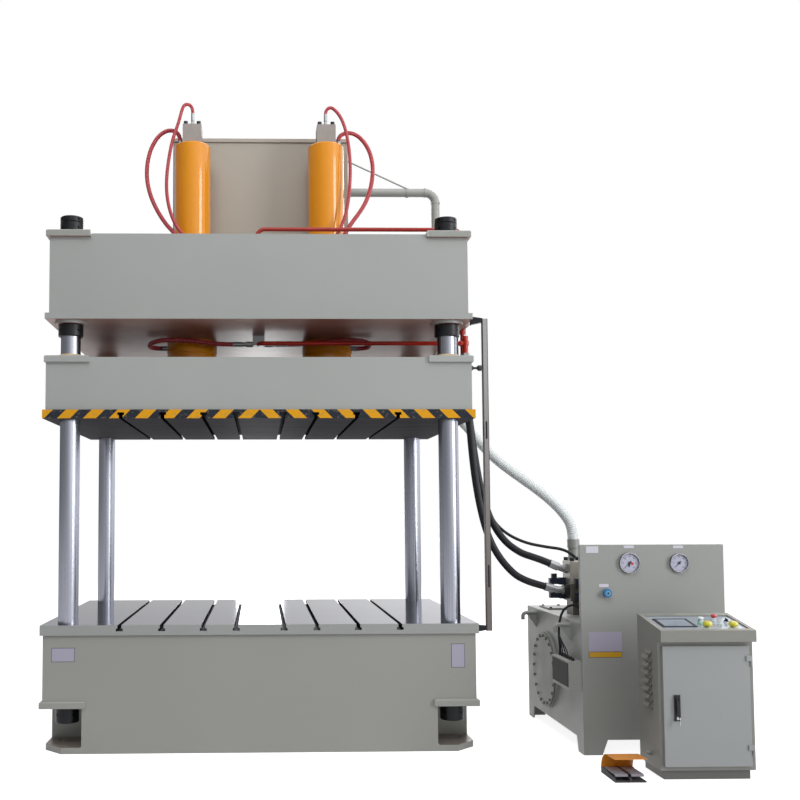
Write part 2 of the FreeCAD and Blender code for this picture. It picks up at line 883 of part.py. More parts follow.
def piston_rods():
    """Rod with its bolted flange below and the grooved piston above."""
    piston = barrel_bore - piston_gap
    rod_top = slide_top + rod_length
    profile = [(0, slide_top), (rod_flange_radius, slide_top),
               (rod_flange_radius, slide_top + rod_flange_height),
               (rod_radius, slide_top + rod_flange_height), (rod_radius, rod_top), (piston, rod_top)]
    pitch = piston_height / (2 * piston_grooves + 1)
    for n in range(piston_grooves):
        low = rod_top + (2 * n + 1) * pitch
        profile += [(piston, low), (piston - piston_groove, low), (piston - piston_groove, low + pitch),
                    (piston, low + pitch)]
    profile += [(piston, rod_top + piston_height), (0, rod_top + piston_height)]
    rods = []
    for side in (-1, 1):
        middle = point(side * cylinder_x, 0, 0)
        head = hexagon(cap_screw_radius, rod_flange_height / 3,
                       point(side * cylinder_x + (rod_radius + rod_flange_radius) / 2, 0,
                             slide_top + rod_flange_height))
        rods.append(fused([turned(profile, middle)] + bolt_circle(head, middle, Z, 8, 22.5)))
    return rods


save("slide_weldment", [slide_weldment()])
save("slide_plate", [slide_plate()])
save("guide_bushes", guide_bushes())
save("piston_rods", piston_rods())


# ---------------------------------------------------------------- cylinders and what stands on them
def cylinders():
    """Barrel with its shoulder under the crown, and the gland cover below it."""
    bore_top = barrel_top - barrel_end_thickness
    barrel = [(barrel_bore, shoulder_bottom), (shoulder_radius - gland_groove, shoulder_bottom),
              (shoulder_radius, shoulder_bottom + gland_groove), (shoulder_radius, crown_bottom),
              (barrel_radius, crown_bottom), (barrel_radius, barrel_top - barrel_chamfer),
              (barrel_radius - barrel_chamfer, barrel_top), (0, barrel_top), (0, bore_top),
              (barrel_bore, bore_top)]
    gland = [(rod_radius + gland_gap, gland_bottom), (shoulder_radius - gland_groove, gland_bottom),
             (shoulder_radius, gland_bottom + gland_groove),
             (shoulder_radius, shoulder_bottom - gland_groove),
             (shoulder_radius - gland_groove, shoulder_bottom), (rod_radius + gland_gap, shoulder_bottom)]
    solids = []
    for side in (-1, 1):
        spot = round_bar(gland_fitting * 1.12 + tube_gap,
                         point(side * gland_port_x, gland_port_y, gland_port_z),
                         point(side * (cylinder_x + shoulder_radius + port_radius), gland_port_y,
                               gland_port_z))
        solids.append(turned(barrel, point(side * cylinder_x, 0, 0)).cut(spot))
        solids.append(turned(gland, point(side * cylinder_x, 0, 0)))
    return solids


def valve_blocks():
    half = valve_block_width / 2
    deep = valve_block_depth / 2
    return [bevelled_plate((side * cylinder_x - half, side * cylinder_x + half), (-deep, deep),
                           (barrel_top, valve_block_top), valve_block_bevel) for side in (-1, 1)]


def cap_screw(place):
    head = round_bar(cap_screw_radius, place, place + Z * cap_screw_height)
    return head.cut(hexagon(cap_screw_socket, cap_screw_height, place + Z * (cap_screw_height / 2)))


def cap_screws():
    """Socket screws of the two valve blocks and of the station's valve stack."""
    screws = []
    for side in (-1, 1):
        corner = cap_screw(point(side * cylinder_x + valve_block_width / 2 - cap_screw_inset - valve_block_bevel,
                                 valve_block_depth / 2 - cap_screw_inset - valve_block_bevel,
                                 valve_block_top))
        screws += four_corners(corner, side * cylinder_x)
    middle_x = sum(stack_x) / 2
    middle_y = sum(stack_y) / 2
    corner = cap_screw(point(stack_x[1] - cap_screw_inset, stack_y[1] - cap_screw_inset, stack_z[1]))
    return screws + four_corners(corner, middle_x, middle_y)


def header_tank():
    """Header tank on the crown: flanged front sheet, overhanging lid, filling pipes to both valve blocks."""
    body = block((header_left, header_right), (header_front, header_front + header_depth),
                 (crown_top, header_top))
    sheet = block((header_left - header_lip, header_right + header_lip),
                  (header_front, header_front + header_plate), (crown_top, header_top))
    lid = block((header_left - header_lip, header_right + header_lip),
                (header_front - header_eaves, header_front + header_depth + header_lip),
                (header_top, header_top + header_lid))
    lug = block((header_right + header_lip, header_right + 2.5 * header_lip),
                (return_pipe_y - 2 * stay_radius, return_pipe_y + 2 * stay_radius),
                (header_top, header_top + header_lid))
    pipes = [round_bar(fill_pipe_radius,
                       point(side * cylinder_x, valve_block_depth / 2, valve_block_top - fill_pipe_drop),
                       point(side * cylinder_x, header_front + header_plate,
                             valve_block_top - fill_pipe_drop))
             for side in (-1, 1)]
    flange = round_bar(pipe_flange_radius, point(header_right, return_pipe_y, return_pipe_z),
                       point(header_right + pipe_flange_thickness, return_pipe_y, return_pipe_z))
    return fused([body, sheet, lid, lug, flange] + pipes)


def pipe_ring(middle, axis, radius, width):
    return round_bar(radius, middle - axis * (width / 2), middle + axis * (width / 2))


def return_pipe():
    """Return pipe from the header tank down the right side, with the straight stay that holds it."""
    corner = point(return_pipe_x, return_pipe_y, return_pipe_z)
    foot = point(return_pipe_x, return_pipe_y, return_pipe_end)
    pipe = tube([point(header_right + pipe_flange_thickness, return_pipe_y, return_pipe_z), corner, foot],
                return_pipe_radius, return_pipe_bend)
    socket = round_bar(rib_crest_radius + clamp_ring_wall / 2, foot, foot + Z * (2 * clamp_ring_width))
    elbow_ring = return_pipe_radius + elbow_ring_wall
    rings = [pipe_ring(point(stay_end_x, return_pipe_y, return_pipe_z), X,
                       return_pipe_radius + clamp_ring_wall,
                       clamp_ring_width),
             pipe_ring(corner - X * return_pipe_bend, X, elbow_ring, elbow_ring_width),
             pipe_ring(corner - Z * return_pipe_bend, Z, elbow_ring, elbow_ring_width)]
    start = header_right + 2.5 * header_lip
    pad = block((start, start + stay_pad), (return_pipe_y - 2 * stay_radius, return_pipe_y + 2 * stay_radius),
                (header_top, header_top + header_lid))
    stay = round_bar(stay_radius, point(start + stay_pad / 2, return_pipe_y, header_top + header_lid / 2),
                     point(stay_end_x, return_pipe_y, return_pipe_z + return_pipe_radius))
    return fused([pipe, socket, pad, stay] + rings)


def pressure_pipes():
    """Red steel lines: over the crown to the rear riser, and under the crown to the front riser's tee."""
    over = tube([point(top_pipe_start, rear_riser_y, crown_top + distributor_height),
                 point(top_pipe_start, rear_riser_y, top_pipe_z), point(riser_x, rear_riser_y, top_pipe_z),
                 point(riser_x, rear_riser_y, riser_end)], tube_radius, tube_bend)
    union = round_bar(union_radius, point(riser_x, rear_riser_y, saddle_bottom - union_height),
                      point(riser_x, rear_riser_y, saddle_bottom))
    tee = point(riser_x, front_riser_y, low_pipe_z)
    under = tube([point(sum(manifold_x) / 2, manifold_y[0], low_pipe_z),
                  point(sum(manifold_x) / 2, front_riser_y, low_pipe_z), tee], tube_radius, low_pipe_bend)
    leg = round_bar(front_riser_radius, point(riser_x, front_riser_y, riser_end),
                    point(riser_x, front_riser_y, crown_bottom - front_riser_headroom))
    collar = pipe_ring(tee, Z, tee_radius, 2 * tee_half_height)
    stub = round_bar(front_riser_radius, tee - X * tee_reach, tee)
    return [fused([over, union]), fused([under, leg, collar, stub])]


def distributor():
    half = distributor_size / 2
    return bevelled_plate((top_pipe_start - half, top_pipe_start + half),
                          (rear_riser_y - half, rear_riser_y + half),
                          (crown_top, crown_top + distributor_height), corner_bevel)


def crown_manifold():
    body = block(manifold_x, manifold_y, (crown_bottom - manifold_height, crown_bottom))
    edges = [edge for edge in body.Edges if all(abs(v.Z - body.BoundBox.ZMin) < 1e-6 for v in edge.Vertexes)]
    return body.makeChamfer(corner_bevel, edges)


def hose_fittings():
    """Manifold blocks and the screwed ends that every hose starts from."""
    fittings = [distributor(), crown_manifold()]
    fittings += [pipe_fitting(*fitting) for fitting in ports.values()]
    fittings += [elbow_fitting(*elbow, large_fitting) for elbow in elbows.values()]
    return fittings


# Every screwed end: seat, axis, length, ferrule radius
ports = {
    "riser_front": (point(riser_x, front_riser_y, riser_end), Z * -1, 60.0, large_fitting),
    "riser_rear": (point(riser_x, rear_riser_y, riser_end), Z * -1, 60.0, large_fitting),
    "pilot_top": (point(pilot_port_x, pilot_port_y, saddle_bottom), Z * -1, 60.0, pilot_fitting),
    "pilot_tank": (point(station_left + pilot_tank_place[0], station_front + pilot_tank_place[1], tank_top),
                   Z, 67.0,
                   pilot_fitting),
    "manifold_left": (point(manifold_x[0], rear_riser_y, under_crown_z), X * -1, 163.0, gland_fitting),
    "manifold_right": (point(manifold_x[1], rear_riser_y, under_crown_z), X, 190.0, gland_fitting),
    "gland_left": (point(-gland_port_x, gland_port_y, gland_port_z), X * -1, 60.0, gland_fitting),
    "gland_right": (point(gland_port_x, gland_port_y, gland_port_z), X, 60.0, gland_fitting),
    "stem_left": (point(-cylinder_x, 0, valve_block_top), Z, stem_height, inner_fitting),
    "stem_right": (point(cylinder_x, 0, valve_block_top), Z, stem_height, inner_fitting),
    "barrel_left": (point(-cylinder_x - outer_port_reach, 0, barrel_top), Z, 50.0, outer_fitting),
    "barrel_right": (point(cylinder_x + outer_port_reach, 0, barrel_top), Z, 50.0, outer_fitting),
}
for place in crown_port_x:
    ports["crown_" + place] = (point(crown_port_x[place], crown_port_y[place], crown_top), Z, 60.0,
                               inner_fitting if place.endswith("inner") else outer_fitting)

# Elbow ends on the valve stack's left face: seat, neck, ferrule, tilt
elbows = {
    "stack_upper": (point(stack_x[0], stack_y[0] + upper_port[0], tank_top + upper_port[1]), upper_port_neck,
                    upper_ferrule, upper_ferrule_tilt),
    "stack_lower": (point(stack_x[0], stack_y[0] + lower_port[0], tank_top + lower_port[1]), lower_port_neck,
                    lower_ferrule, lower_ferrule_tilt),
}


def port_end(name):
    """Where a hose leaves its fitting, and its heading there."""
    if name in elbows:
        seat, neck, ferrule, tilt = elbows[name]
        return seat - X * neck + leaning(tilt) * ferrule, leaning(tilt)
    seat, axis, length, radius = ports[name]
    return seat + axis * length, axis * 1.0


# ---------------------------------------------------------------- hoses
# Routes as they hang in the air, from one screwed end to the other
left_inner_route = ((-571, 0, 5163), (-571, 0, 5199), (-586, -5, 5231), (-614, -15, 5241), (-641, -27, 5228),
                    (-657, -37, 5193), (-672, -48, 5130), (-690, -60, 5050),
                    (-733, -92, 4910), (-762, -118, 4745), (-780, -140, 4567), (-779, -155, 4425),
                    (-758, -175, 4291), (-711, -205, 4150), (-644, -238, 4050), (-585, -275, 3960),
                    (-585, -275, 3882))
left_outer_route = ((-680, 0, 4921), (-680, 0, 4962), (-716, 12, 5012), (-774, 18, 5026), (-838, 18, 4998),
                    (-898, 10, 4925), (-945, 0, 4808), (-964, -20, 4653), (-946, -50, 4495),
                    (-890, -90, 4335),
                    (-796, -150, 4166), (-706, -200, 4060), (-648, -238, 3968), (-648, -238, 3882))
right_inner_route = ((571, 0, 5163), (571, 0, 5196), (612, -10, 5226), (660, -24, 5186), (706, -42, 5110),
                     (741, -68, 4990), (762, -98, 4840), (770, -124, 4680), (765, -142, 4520),
                     (747, -170, 4341),
                     (708, -208, 4176), (658, -238, 4064), (606, -266, 3972), (606, -266, 3882))
right_outer_route = ((680, 0, 4921), (680, 0, 4958), (720, 6, 4996), (780, 10, 5008), (845, 10, 4984),
                     (902, 5, 4926), (950, -4, 4836), (976, -22, 4700), (961, -50, 4546), (919, -80, 4401),
                     (859, -118, 4284), (778, -160, 4171), (716, -190, 4070), (680, -215, 3976),
                     (680, -215, 3882))
gland_left_route = ((-220, -290, 3113), (-330, -290, 3113), (-490, -300, 3136), (-650, -303, 3147),
                    (-760, -292, 3148), (-848, -250, 3144), (-900, -180, 3134), (-910, -108, 3124),
                    (-868, -60, 3118), (-805, -60, 3118))
gland_right_route = ((230, -290, 3113), (345, -290, 3113), (520, -300, 3136), (680, -303, 3147),
                     (790, -288, 3148), (872, -236, 3144), (912, -168, 3136), (910, -104, 3126),
                     (868, -60, 3118), (805, -60, 3118))
main_front_route = ((1665, -400, 2960), (1665, -400, 2780), (1684, -400, 2540), (1702, -400, 2270),
                    (1725, -405, 2020), (1762, -418, 1770), (1812, -440, 1555), (1890, -465, 1385),
                    (2000, -500, 1250), (2075, -538, 1205), (2153, -560, 1176), (2230, -560, 1155))
main_rear_route = ((1665, -290, 2960), (1665, -290, 2820), (1702, -290, 2610), (1734, -290, 2350),
                   (1765, -300, 2100), (1805, -322, 1860), (1868, -352, 1655), (1962, -390, 1500),
                   (2074, -440, 1412), (2150, -480, 1385), (2219, -500, 1361), (2288, -500, 1332))
pilot_route = ((1640, -190, 3180), (1640, -190, 3010), (1662, -190, 2800), (1700, -188, 2570),
               (1745, -186, 2310),
               (1790, -188, 2060), (1840, -196, 1840), (1915, -210, 1665), (2015, -232, 1560),
               (2160, -262, 1487),
               (2320, -288, 1454), (2475, -304, 1434), (2575, -322, 1356), (2636, -340, 1222),
               (2650, -350, 1104),
               (2650, -350, 1000))
return_route = ((1641, 700, 3040), (1641, 700, 2886), (1694, 672, 2744), (1786, 620, 2622), (1890, 566, 2500),
                (1994, 510, 2346), (2118, 452, 2200), (2268, 380, 2070), (2412, 300, 1952), (2528, 218, 1838),
                (2610, 160, 1736), (2685, 130, 1608), (2685, 130, 1455))
cable_route = ((2480, -600, 1000), (2480, -645, 1003), (2446, -697, 1018), (2384, -742, 1028),
               (2328, -768, 1014),
               (2298, -766, 976), (2285, -748, 922), (2277, -745, 862), (2270, -762, 808), (2263, -795, 760),
               (2262, -815, 722), (2262, -815, 683))

hoses = (
    ("hose_left_inner", left_inner_route, "stem_left", "crown_left_inner", inner_hose_radius),
    ("hose_left_outer", left_outer_route, "barrel_left", "crown_left_outer", outer_hose_radius),
    ("hose_right_inner", right_inner_route, "stem_right", "crown_right_inner", inner_hose_radius),
    ("hose_right_outer", right_outer_route, "barrel_right", "crown_right_outer", outer_hose_radius),
    ("hose_gland_left", gland_left_route, "manifold_left", "gland_left", gland_hose_radius),
    ("hose_gland_right", gland_right_route, "manifold_right", "gland_right", gland_hose_radius),
    ("main_hose_front", main_front_route, "riser_front", "stack_lower", main_hose_radius),
    ("main_hose_rear", main_rear_route, "riser_rear", "stack_upper", main_hose_radius),
    ("pilot_hose", pilot_route, "pilot_top", "pilot_tank", pilot_hose_radius),
)

save("cylinders", cylinders())
save("valve_blocks", valve_blocks())
save("cap_screws", cap_screws())
save("header_tank", [header_tank()])
save("return_pipe", [return_pipe()])
save("pressure_pipes", pressure_pipes())
save("hose_fittings", hose_fittings())
for name, route, start, end, radius in hoses:
    save(name, [hose(name, hung_between(route, *port_end(start), *port_end(end)), radius)])
return_points = hung_between(return_route, point(return_pipe_x, return_pipe_y, return_pipe_end), Z * -1,
                             point(inlet_x, inlet_y, inlet_top), Z)
save("return_hose", [ribbed_hose("return_hose", return_points, rib_root_radius, rib_crest_radius,
                                 return_hose_bore, rib_pitch)])
cable_start = point(stack_x[0] + cable_exit[0], stack_y[0] + stack_foot_inset - cable_gland_length,
                    tank_top + cable_exit[1])
cable_end = point(station_left - terminal_gland_inset,
                  terminal_front + terminal_gland_margins[0] + terminal_gland_run,
                  terminal_z[1] + cable_gland_length)
save("valve_cable", [hose("valve_cable", hung_between(cable_route, cable_start, Y * -1, cable_end, Z),
                          cable_radius)])


# ---------------------------------------------------------------- travel switch bar
def bar_bracket(face, datum, levels):
    """Tapered arm with a pad on a side face, reaching out to the bar; levels run from the root's top round."""
    root_top, tip_top, tip_bottom, root_bottom = [datum + level for level in levels]
    arm = prism([point(face, bar_y, root_top), point(bar_x, bar_y, tip_top), point(bar_x, bar_y, tip_bottom),
                 point(face, bar_y, root_bottom)], point(0, bar_depth, 0))
    pad = block((face, face + bracket_pad), (bar_y - bracket_pad, bar_y + bar_depth + bracket_pad),
                (root_bottom, root_top))
    return fused([arm, pad])


def switch_bar():
    """Slotted channel bar that carries the travel switches."""
    outer = block((bar_x, bar_x + bar_width), (bar_y, bar_y + bar_depth), (bar_bottom, bar_top))
    hollow = block((bar_x + bar_wall, bar_x + bar_width - bar_wall),
                   (bar_y + bar_wall, bar_y + bar_depth + 1),
                   (bar_bottom - 1, bar_top + 1))
    middle = bar_x + bar_width / 2
    half = bar_slot_width / 2
    slots = []
    for low, high in bar_slots:
        slots.append(block((middle - half, middle + half), (bar_y - 1, bar_y + bar_wall + 1),
                           (low + half, high - half)))
        slots += [round_bar(half, point(middle, bar_y - 1, level), point(middle, bar_y + bar_wall + 1, level))
                  for level in (low + half, high - half)]
    return outer.cut([hollow] + slots)


save("switch_bar", [switch_bar()])
save("bar_brackets", [bar_bracket(crown_plate_width / 2, crown_bottom, upper_bracket),
                      bar_bracket(half_width, bolster_top, lower_bracket)])


# ---------------------------------------------------------------- power station
def station_legs():
    """Angled corner legs, each of a front plate and a side plate."""
    left, front = station_left, station_front
    across = prism([point(left, front, 0), point(left + leg_foot, front, 0),
                    point(left + leg_root, front, station_leg_height),
                    point(left, front, station_leg_height)],
                   point(0, leg_plate, 0))
    along = prism([point(left, front, 0), point(left, front + side_leg_foot, 0),
                   point(left, front + side_leg_root, station_leg_height),
                   point(left, front, station_leg_height)],
                  point(leg_plate, 0, 0))
    middle_x = left + station_width / 2
    middle_y = front + station_depth / 2
    return four_corners(across, middle_x, middle_y) + four_corners(along, middle_x, middle_y)


def lifting_hook(y):
    """Bent round bar with the triangular web below it, on the left side."""
    end = station_left - hook_reach
    bar = tube([point(station_left, y, hook_height), point(end, y, hook_height),
                point(end, y, hook_height - hook_drop)], hook_radius, hook_bend)
    under = hook_height - hook_radius / 2
    web = prism([point(station_left, y - leg_plate / 2, under), point(station_left, y - leg_plate / 2,
                 under - hook_gusset), point(end + 2 * hook_radius, y - leg_plate / 2, under)],
                point(0, leg_plate, 0))
    return [bar, web]


def station_tank():
    middle_x = station_left + station_width / 2
    body = block((station_left, station_right), (station_front, station_back), (station_leg_height, tank_top))
    panel = block((station_left, station_right), (station_front, station_front + panel_thickness),
                  (tank_top, panel_top))
    returns = both_sides(block((station_left, station_left + panel_thickness),
                               (station_front, station_front + panel_return), (tank_top, panel_top)),
                         middle_x)
    lintel = block((station_left, station_right), (station_front, station_front + panel_return),
                   (panel_top - panel_thickness, panel_top))
    ring = round_bar(manhole_radius, point(station_left - manhole_ring, manhole_y, manhole_z),
                     point(station_left, manhole_y, manhole_z))
    hooks = []
    for place in hook_places:
        for piece in lifting_hook(station_front + place):
            hooks += both_sides(piece, middle_x)
    inlet = round_bar(inlet_radius, point(inlet_x, inlet_y, tank_top), point(inlet_x, inlet_y, inlet_top))
    collar = round_bar(inlet_collar_radius, point(inlet_x, inlet_y, inlet_top - inlet_collar / 2),
                       point(inlet_x, inlet_y, inlet_top + inlet_collar))
    socket = round_bar(rib_crest_radius + tube_gap, point(inlet_x, inlet_y, inlet_top),
                       point(inlet_x, inlet_y, inlet_top + inlet_collar + 1))
    tank = fused([body, panel, lintel, ring, inlet, collar] + returns + hooks + station_legs())
    holes = [round_bar(radius * gauge_neck + tube_gap, point(x, station_front - 1, z),
                       point(x, station_front + panel_thickness + 1, z)) for x, z, radius in gauge_places]
    holes.append(round_bar(knob_stem_radius + knob_stem_gap, point(knob_x, station_front - 1, knob_z),
                           point(knob_x, station_front + panel_thickness + 1, knob_z)))
    return tank.cut(holes + [socket])


def bolt_head(place, axis):
    return hexagon(bolt_head_radius, bolt_head_height, place, axis)


def tank_covers():
    """Round manhole cover on the left side and the bolted hatch on top."""
    face = station_left - manhole_ring
    centre = point(face - manhole_cover_thickness, manhole_y, manhole_z)
    cover = round_bar(manhole_cover_radius, point(face, manhole_y, manhole_z), centre)
    head = bolt_head(centre + Z * manhole_pitch_radius, X * -1)
    manhole = fused([cover] + bolt_circle(head, centre, X, manhole_bolts))
    plate = block(hatch_x, hatch_y, (tank_top, tank_top + hatch_thickness))
    corner = bolt_head(point(hatch_x[1] - 2 * bolt_head_radius, hatch_y[1] - 2 * bolt_head_radius,
                             tank_top + hatch_thickness), Z)
    hatch = fused([plate] + four_corners(corner, sum(hatch_x) / 2, sum(hatch_y) / 2))
    return [manhole, hatch]


def cable_gland(base, axis):
    """Screwed gland: hexagon below, round cap above."""
    nut = hexagon(cable_gland_radius, cable_gland_length * 0.4, base, axis)
    return fused([nut, round_bar(cable_gland_radius * 0.85, base, base + axis * cable_gland_length)])


def valve_stack():
    """Drilled valve manifold on its pedestal, with the gland of the valve cable."""
    inset = stack_foot_inset
    foot = block((stack_x[0] + inset, stack_x[1] - inset), (stack_y[0] + inset, stack_y[1] - inset),
                 (tank_top, stack_z[0]))
    body = block(stack_x, stack_y, stack_z)
    body = body.makeChamfer(stack_bevel, body.Edges)
    gland = cable_gland(point(stack_x[0] + cable_exit[0], stack_y[0] + inset, tank_top + cable_exit[1]),
                        Y * -1)
    return fused([foot, body, gland])


def solenoid_valve(seat, turn):
    """Valve body, coil box and plug, drawn along -X from the seat and turned about the upright axis."""
    deep, wide, high = valve_body
    plug_length, plug_width, plug_height = coil_plug
    body = block((-deep, 0), (-wide / 2, wide / 2), (-high / 2, high / 2))
    coil = block((-valve_reach, -deep), (-coil_width / 2, coil_width / 2),
                 (-coil_height / 2, coil_height / 2))
    middle = (deep + valve_reach) / 2
    plug = block((-middle - plug_length / 2, -middle + plug_length / 2), (-plug_width / 2, plug_width / 2),
                 (coil_height / 2, coil_height / 2 + plug_height))
    valve = fused([body, coil, plug])
    valve.Placement = FreeCAD.Placement(seat, FreeCAD.Rotation(Z, turn))
    return valve


def solenoid_valves():
    """Two valves one above the other on the manifold's left face, two more on its front face."""
    valves = []
    for level in valve_rows:
        valves.append(solenoid_valve(point(stack_x[0], stack_y[0] + side_valve_place, tank_top + level), 0))
        valves.append(solenoid_valve(point(stack_x[0] + front_valve_place, stack_y[0], tank_top + level), 90))
    return valves


def motor():
    """Finned electric motor on feet, fan cover towards the gauge panel, shaft towards the pump."""
    centre_z = tank_top + motor_shaft_height
    end = motor_front + motor_length
    barrel = round_bar(motor_radius - fin_height, point(motor_x, motor_front, centre_z),
                       point(motor_x, end, centre_z))
    fin = block((motor_x - fin_thickness / 2, motor_x + fin_thickness / 2),
                (motor_front + 2 * fin_height, end - 2 * fin_height),
                (centre_z + motor_radius - 2 * fin_height, centre_z + motor_radius))
    fins = bolt_circle(fin, point(motor_x, 0, centre_z), Y, motor_fins)
    cover = turned([(0, 0), (motor_radius - fin_height, 0), (motor_radius, fin_height),
                    (motor_radius, fan_cover_length), (0, fan_cover_length)],
                   point(motor_x, motor_front - fan_cover_length, centre_z), Y)
    flange = round_bar(motor_radius, point(motor_x, end - fin_height, centre_z),
                       point(motor_x, end, centre_z))
    shaft = round_bar(shaft_radius, point(motor_x, end, centre_z),
                      point(motor_x, end + bell_length / 2 - bell_wall / 2, centre_z))
    foot = block((motor_x - motor_radius * 0.9, motor_x - motor_radius * 0.5),
                 (motor_front + fan_cover_length / 2,
    end - fan_cover_length / 2), (tank_top, centre_z - motor_radius * 0.6))
    box = block((motor_x - motor_radius / 2, motor_x + motor_radius / 2), (motor_front + 4 * fin_height,
                motor_front + 12 * fin_height), (centre_z + motor_radius / 2, centre_z + motor_radius * 1.4))
    return fused([barrel, cover, flange, shaft, box] + fins + both_sides(foot, motor_x))


def pump_unit():
    """Bell housing with two windows, the pump on it, and its suction pipe into the tank."""
    centre_z = tank_top + motor_shaft_height
    start = motor_front + motor_length
    wall_start = start + bell_length - bell_wall
    bell = round_bar(bell_radius, point(motor_x, start, centre_z),
                     point(motor_x, start + bell_length, centre_z))
    inside = round_bar(bell_radius - bell_wall, point(motor_x, start - 1, centre_z),
                       point(motor_x, wall_start, centre_z))
    window = block((motor_x - 2 * bell_radius, motor_x + 2 * bell_radius),
                   (start + 2 * bell_wall, wall_start - bell_wall),
                   (centre_z - bell_wall * 2, centre_z + bell_wall * 2))
    shaft = round_bar(shaft_radius, point(motor_x, start + bell_length / 2 - bell_wall / 4, centre_z),
                      point(motor_x, wall_start, centre_z))
    pump = turned([(0, 0), (bell_radius * 0.9, 0), (bell_radius * 0.9, bell_wall),
                   (pump_radius, bell_wall * 2),
                   (pump_radius, pump_length - bell_wall), (pump_radius - bell_wall, pump_length),
                   (0, pump_length)],
                  point(motor_x, start + bell_length, centre_z), Y)
    suction_y = start + bell_length + pump_length * 0.6
    suction = round_bar(union_radius, point(motor_x, suction_y, tank_top),
                        point(motor_x, suction_y, centre_z))
    return fused([bell.cut([inside, window]), shaft, pump, suction])


def drive_coupling():
    """Two-part jaw coupling turned as one body on both shaft ends."""
    middle = motor_front + motor_length + bell_length / 2 - bell_wall / 2
    half = coupling_length / 2
    bore = shaft_radius + shaft_gap
    groove = coupling_radius - bell_wall
    profile = [(bore, -half), (groove, -half), (coupling_radius, -half + bell_wall),
               (coupling_radius, -bar_wall),
               (groove, -bar_wall), (groove, bar_wall), (coupling_radius, bar_wall),
               (coupling_radius, half - bell_wall),
               (groove, half), (bore, half)]
    return turned(profile, point(motor_x, middle, tank_top + motor_shaft_height), Y)


def terminal_box():
    """Terminal box with a row of cable glands on top and the cover on its outer face."""
    side = station_left - terminal_width
    body = block((side, station_left), (terminal_front, terminal_front + terminal_depth), terminal_z)
    ends, below, above = terminal_cover_margins
    cover = block((side - terminal_cover, side),
                  (terminal_front + ends, terminal_front + terminal_depth - ends),
                  (terminal_z[0] + below, terminal_z[1] - above))
    glands = [cable_gland(point(station_left - terminal_gland_inset,
                                terminal_front + terminal_gland_margins[0]
                                + n * terminal_gland_run / (terminal_glands - 1), terminal_z[1]), Z)
              for n in range(terminal_glands)]
    return [fused([body] + glands), cover]


def gauge_cases():
    """Gauge case through the panel: bezel, sunk dial and the pin of its pointer."""
    cases = []
    for x, z, radius in gauge_places:
        neck = radius * gauge_neck
        dial = gauge_rise - gauge_recess
        profile = [(0, -panel_thickness - gauge_body), (neck, -panel_thickness - gauge_body), (neck, 0),
                   (radius, 0),
                   (radius, gauge_rise - gauge_wall / 2), (radius - gauge_wall / 2, gauge_rise),
                   (radius - gauge_wall, gauge_rise), (radius - gauge_wall, dial),
                   (2 * needle_pin_radius, dial),
                   (2 * needle_pin_radius, dial + needle_pin_radius),
                   (needle_pin_radius, dial + needle_pin_radius),
                   (needle_pin_radius, dial + 3 * needle_pin_radius), (0, dial + 3 * needle_pin_radius)]
        cases.append(turned(profile, point(x, station_front, z), Y * -1))
    return cases


def gauge_needle(x, z, radius):
    """Tapered pointer with a round hub, resting at the dial's zero."""
    tip = radius * 0.72
    hub = radius * 0.1
    outline = [point(tip, 0, 0), point(0, hub / 3, 0), point(-tip / 3, hub / 2, 0),
               point(-tip / 3, -hub / 2, 0),
               point(0, -hub / 3, 0)]
    blade = prism(outline, point(0, 0, needle_thickness))
    ring = Part.makeCylinder(hub, needle_thickness)
    bore = Part.makeCylinder(needle_pin_radius + needle_gap, 3 * needle_thickness,
                             point(0, 0, -needle_thickness))
    pointer = fused([blade, ring]).cut(bore)
    pointer.rotate(point(0, 0, 0), Z, needle_angle)
    pointer.rotate(point(0, 0, 0), X, 90)
    seat = gauge_rise - gauge_recess + needle_pin_radius + needle_gap
    pointer.translate(point(x, station_front - seat, z))
    return pointer


def relief_knob():
    """Fluted hand knob of the relief valve, with its stem through the panel."""
    front = station_front - tube_gap
    knob = turned([(0, 0), (knob_radius * 0.9, 0), (knob_radius, knob_length * 0.2),
                   (knob_radius, knob_length * 0.8),
                   (knob_radius * 0.85, knob_length), (0, knob_length)], point(knob_x, front, knob_z), Y * -1)
    flute = round_bar(knob_stem_radius / 2, point(knob_x, front + 1, knob_z + knob_radius * 1.04),
                      point(knob_x, front - knob_length - 1, knob_z + knob_radius * 1.04))
    knob = knob.cut(bolt_circle(flute, point(knob_x, 0, knob_z), Y, 10))
    stem = round_bar(knob_stem_radius, point(knob_x, front, knob_z),
                     point(knob_x, front + knob_stem_length, knob_z))
    return fused([knob, stem])


save("station_tank", [station_tank()])
save("tank_covers", tank_covers())
save("valve_stack", [valve_stack()])
save("solenoid_valves", solenoid_valves())
save("motor", [motor()])
save("pump_unit", [pump_unit()])
save("drive_coupling", [drive_coupling()])
save("terminal_box", terminal_box())
save("gauge_cases", gauge_cases())
save("gauge_needle_left", [gauge_needle(*gauge_places[0])])
save("gauge_needle_right", [gauge_needle(*gauge_places[1])])
save("relief_knob", [relief_knob()])


# ---------------------------------------------------------------- console
desk = FreeCAD.Placement(point(0, console_front - console_lip, console_lip_top),
                         FreeCAD.Rotation(X, math.degrees(slope)))
inset_x = (console_left + inset_margin, console_right - inset_margin)
inset_s = (inset_front, slope_length - inset_back)
panel_level = -inset_drop
button_bore = button_stem_radius + stem_gap
cap_clearance = button_travel + 1.0


def on_desk(shape):
    """Moves a shape drawn as (across, up the slope, out of the slope) onto the desk."""
    shape.Placement = desk.multiply(shape.Placement)
    return shape


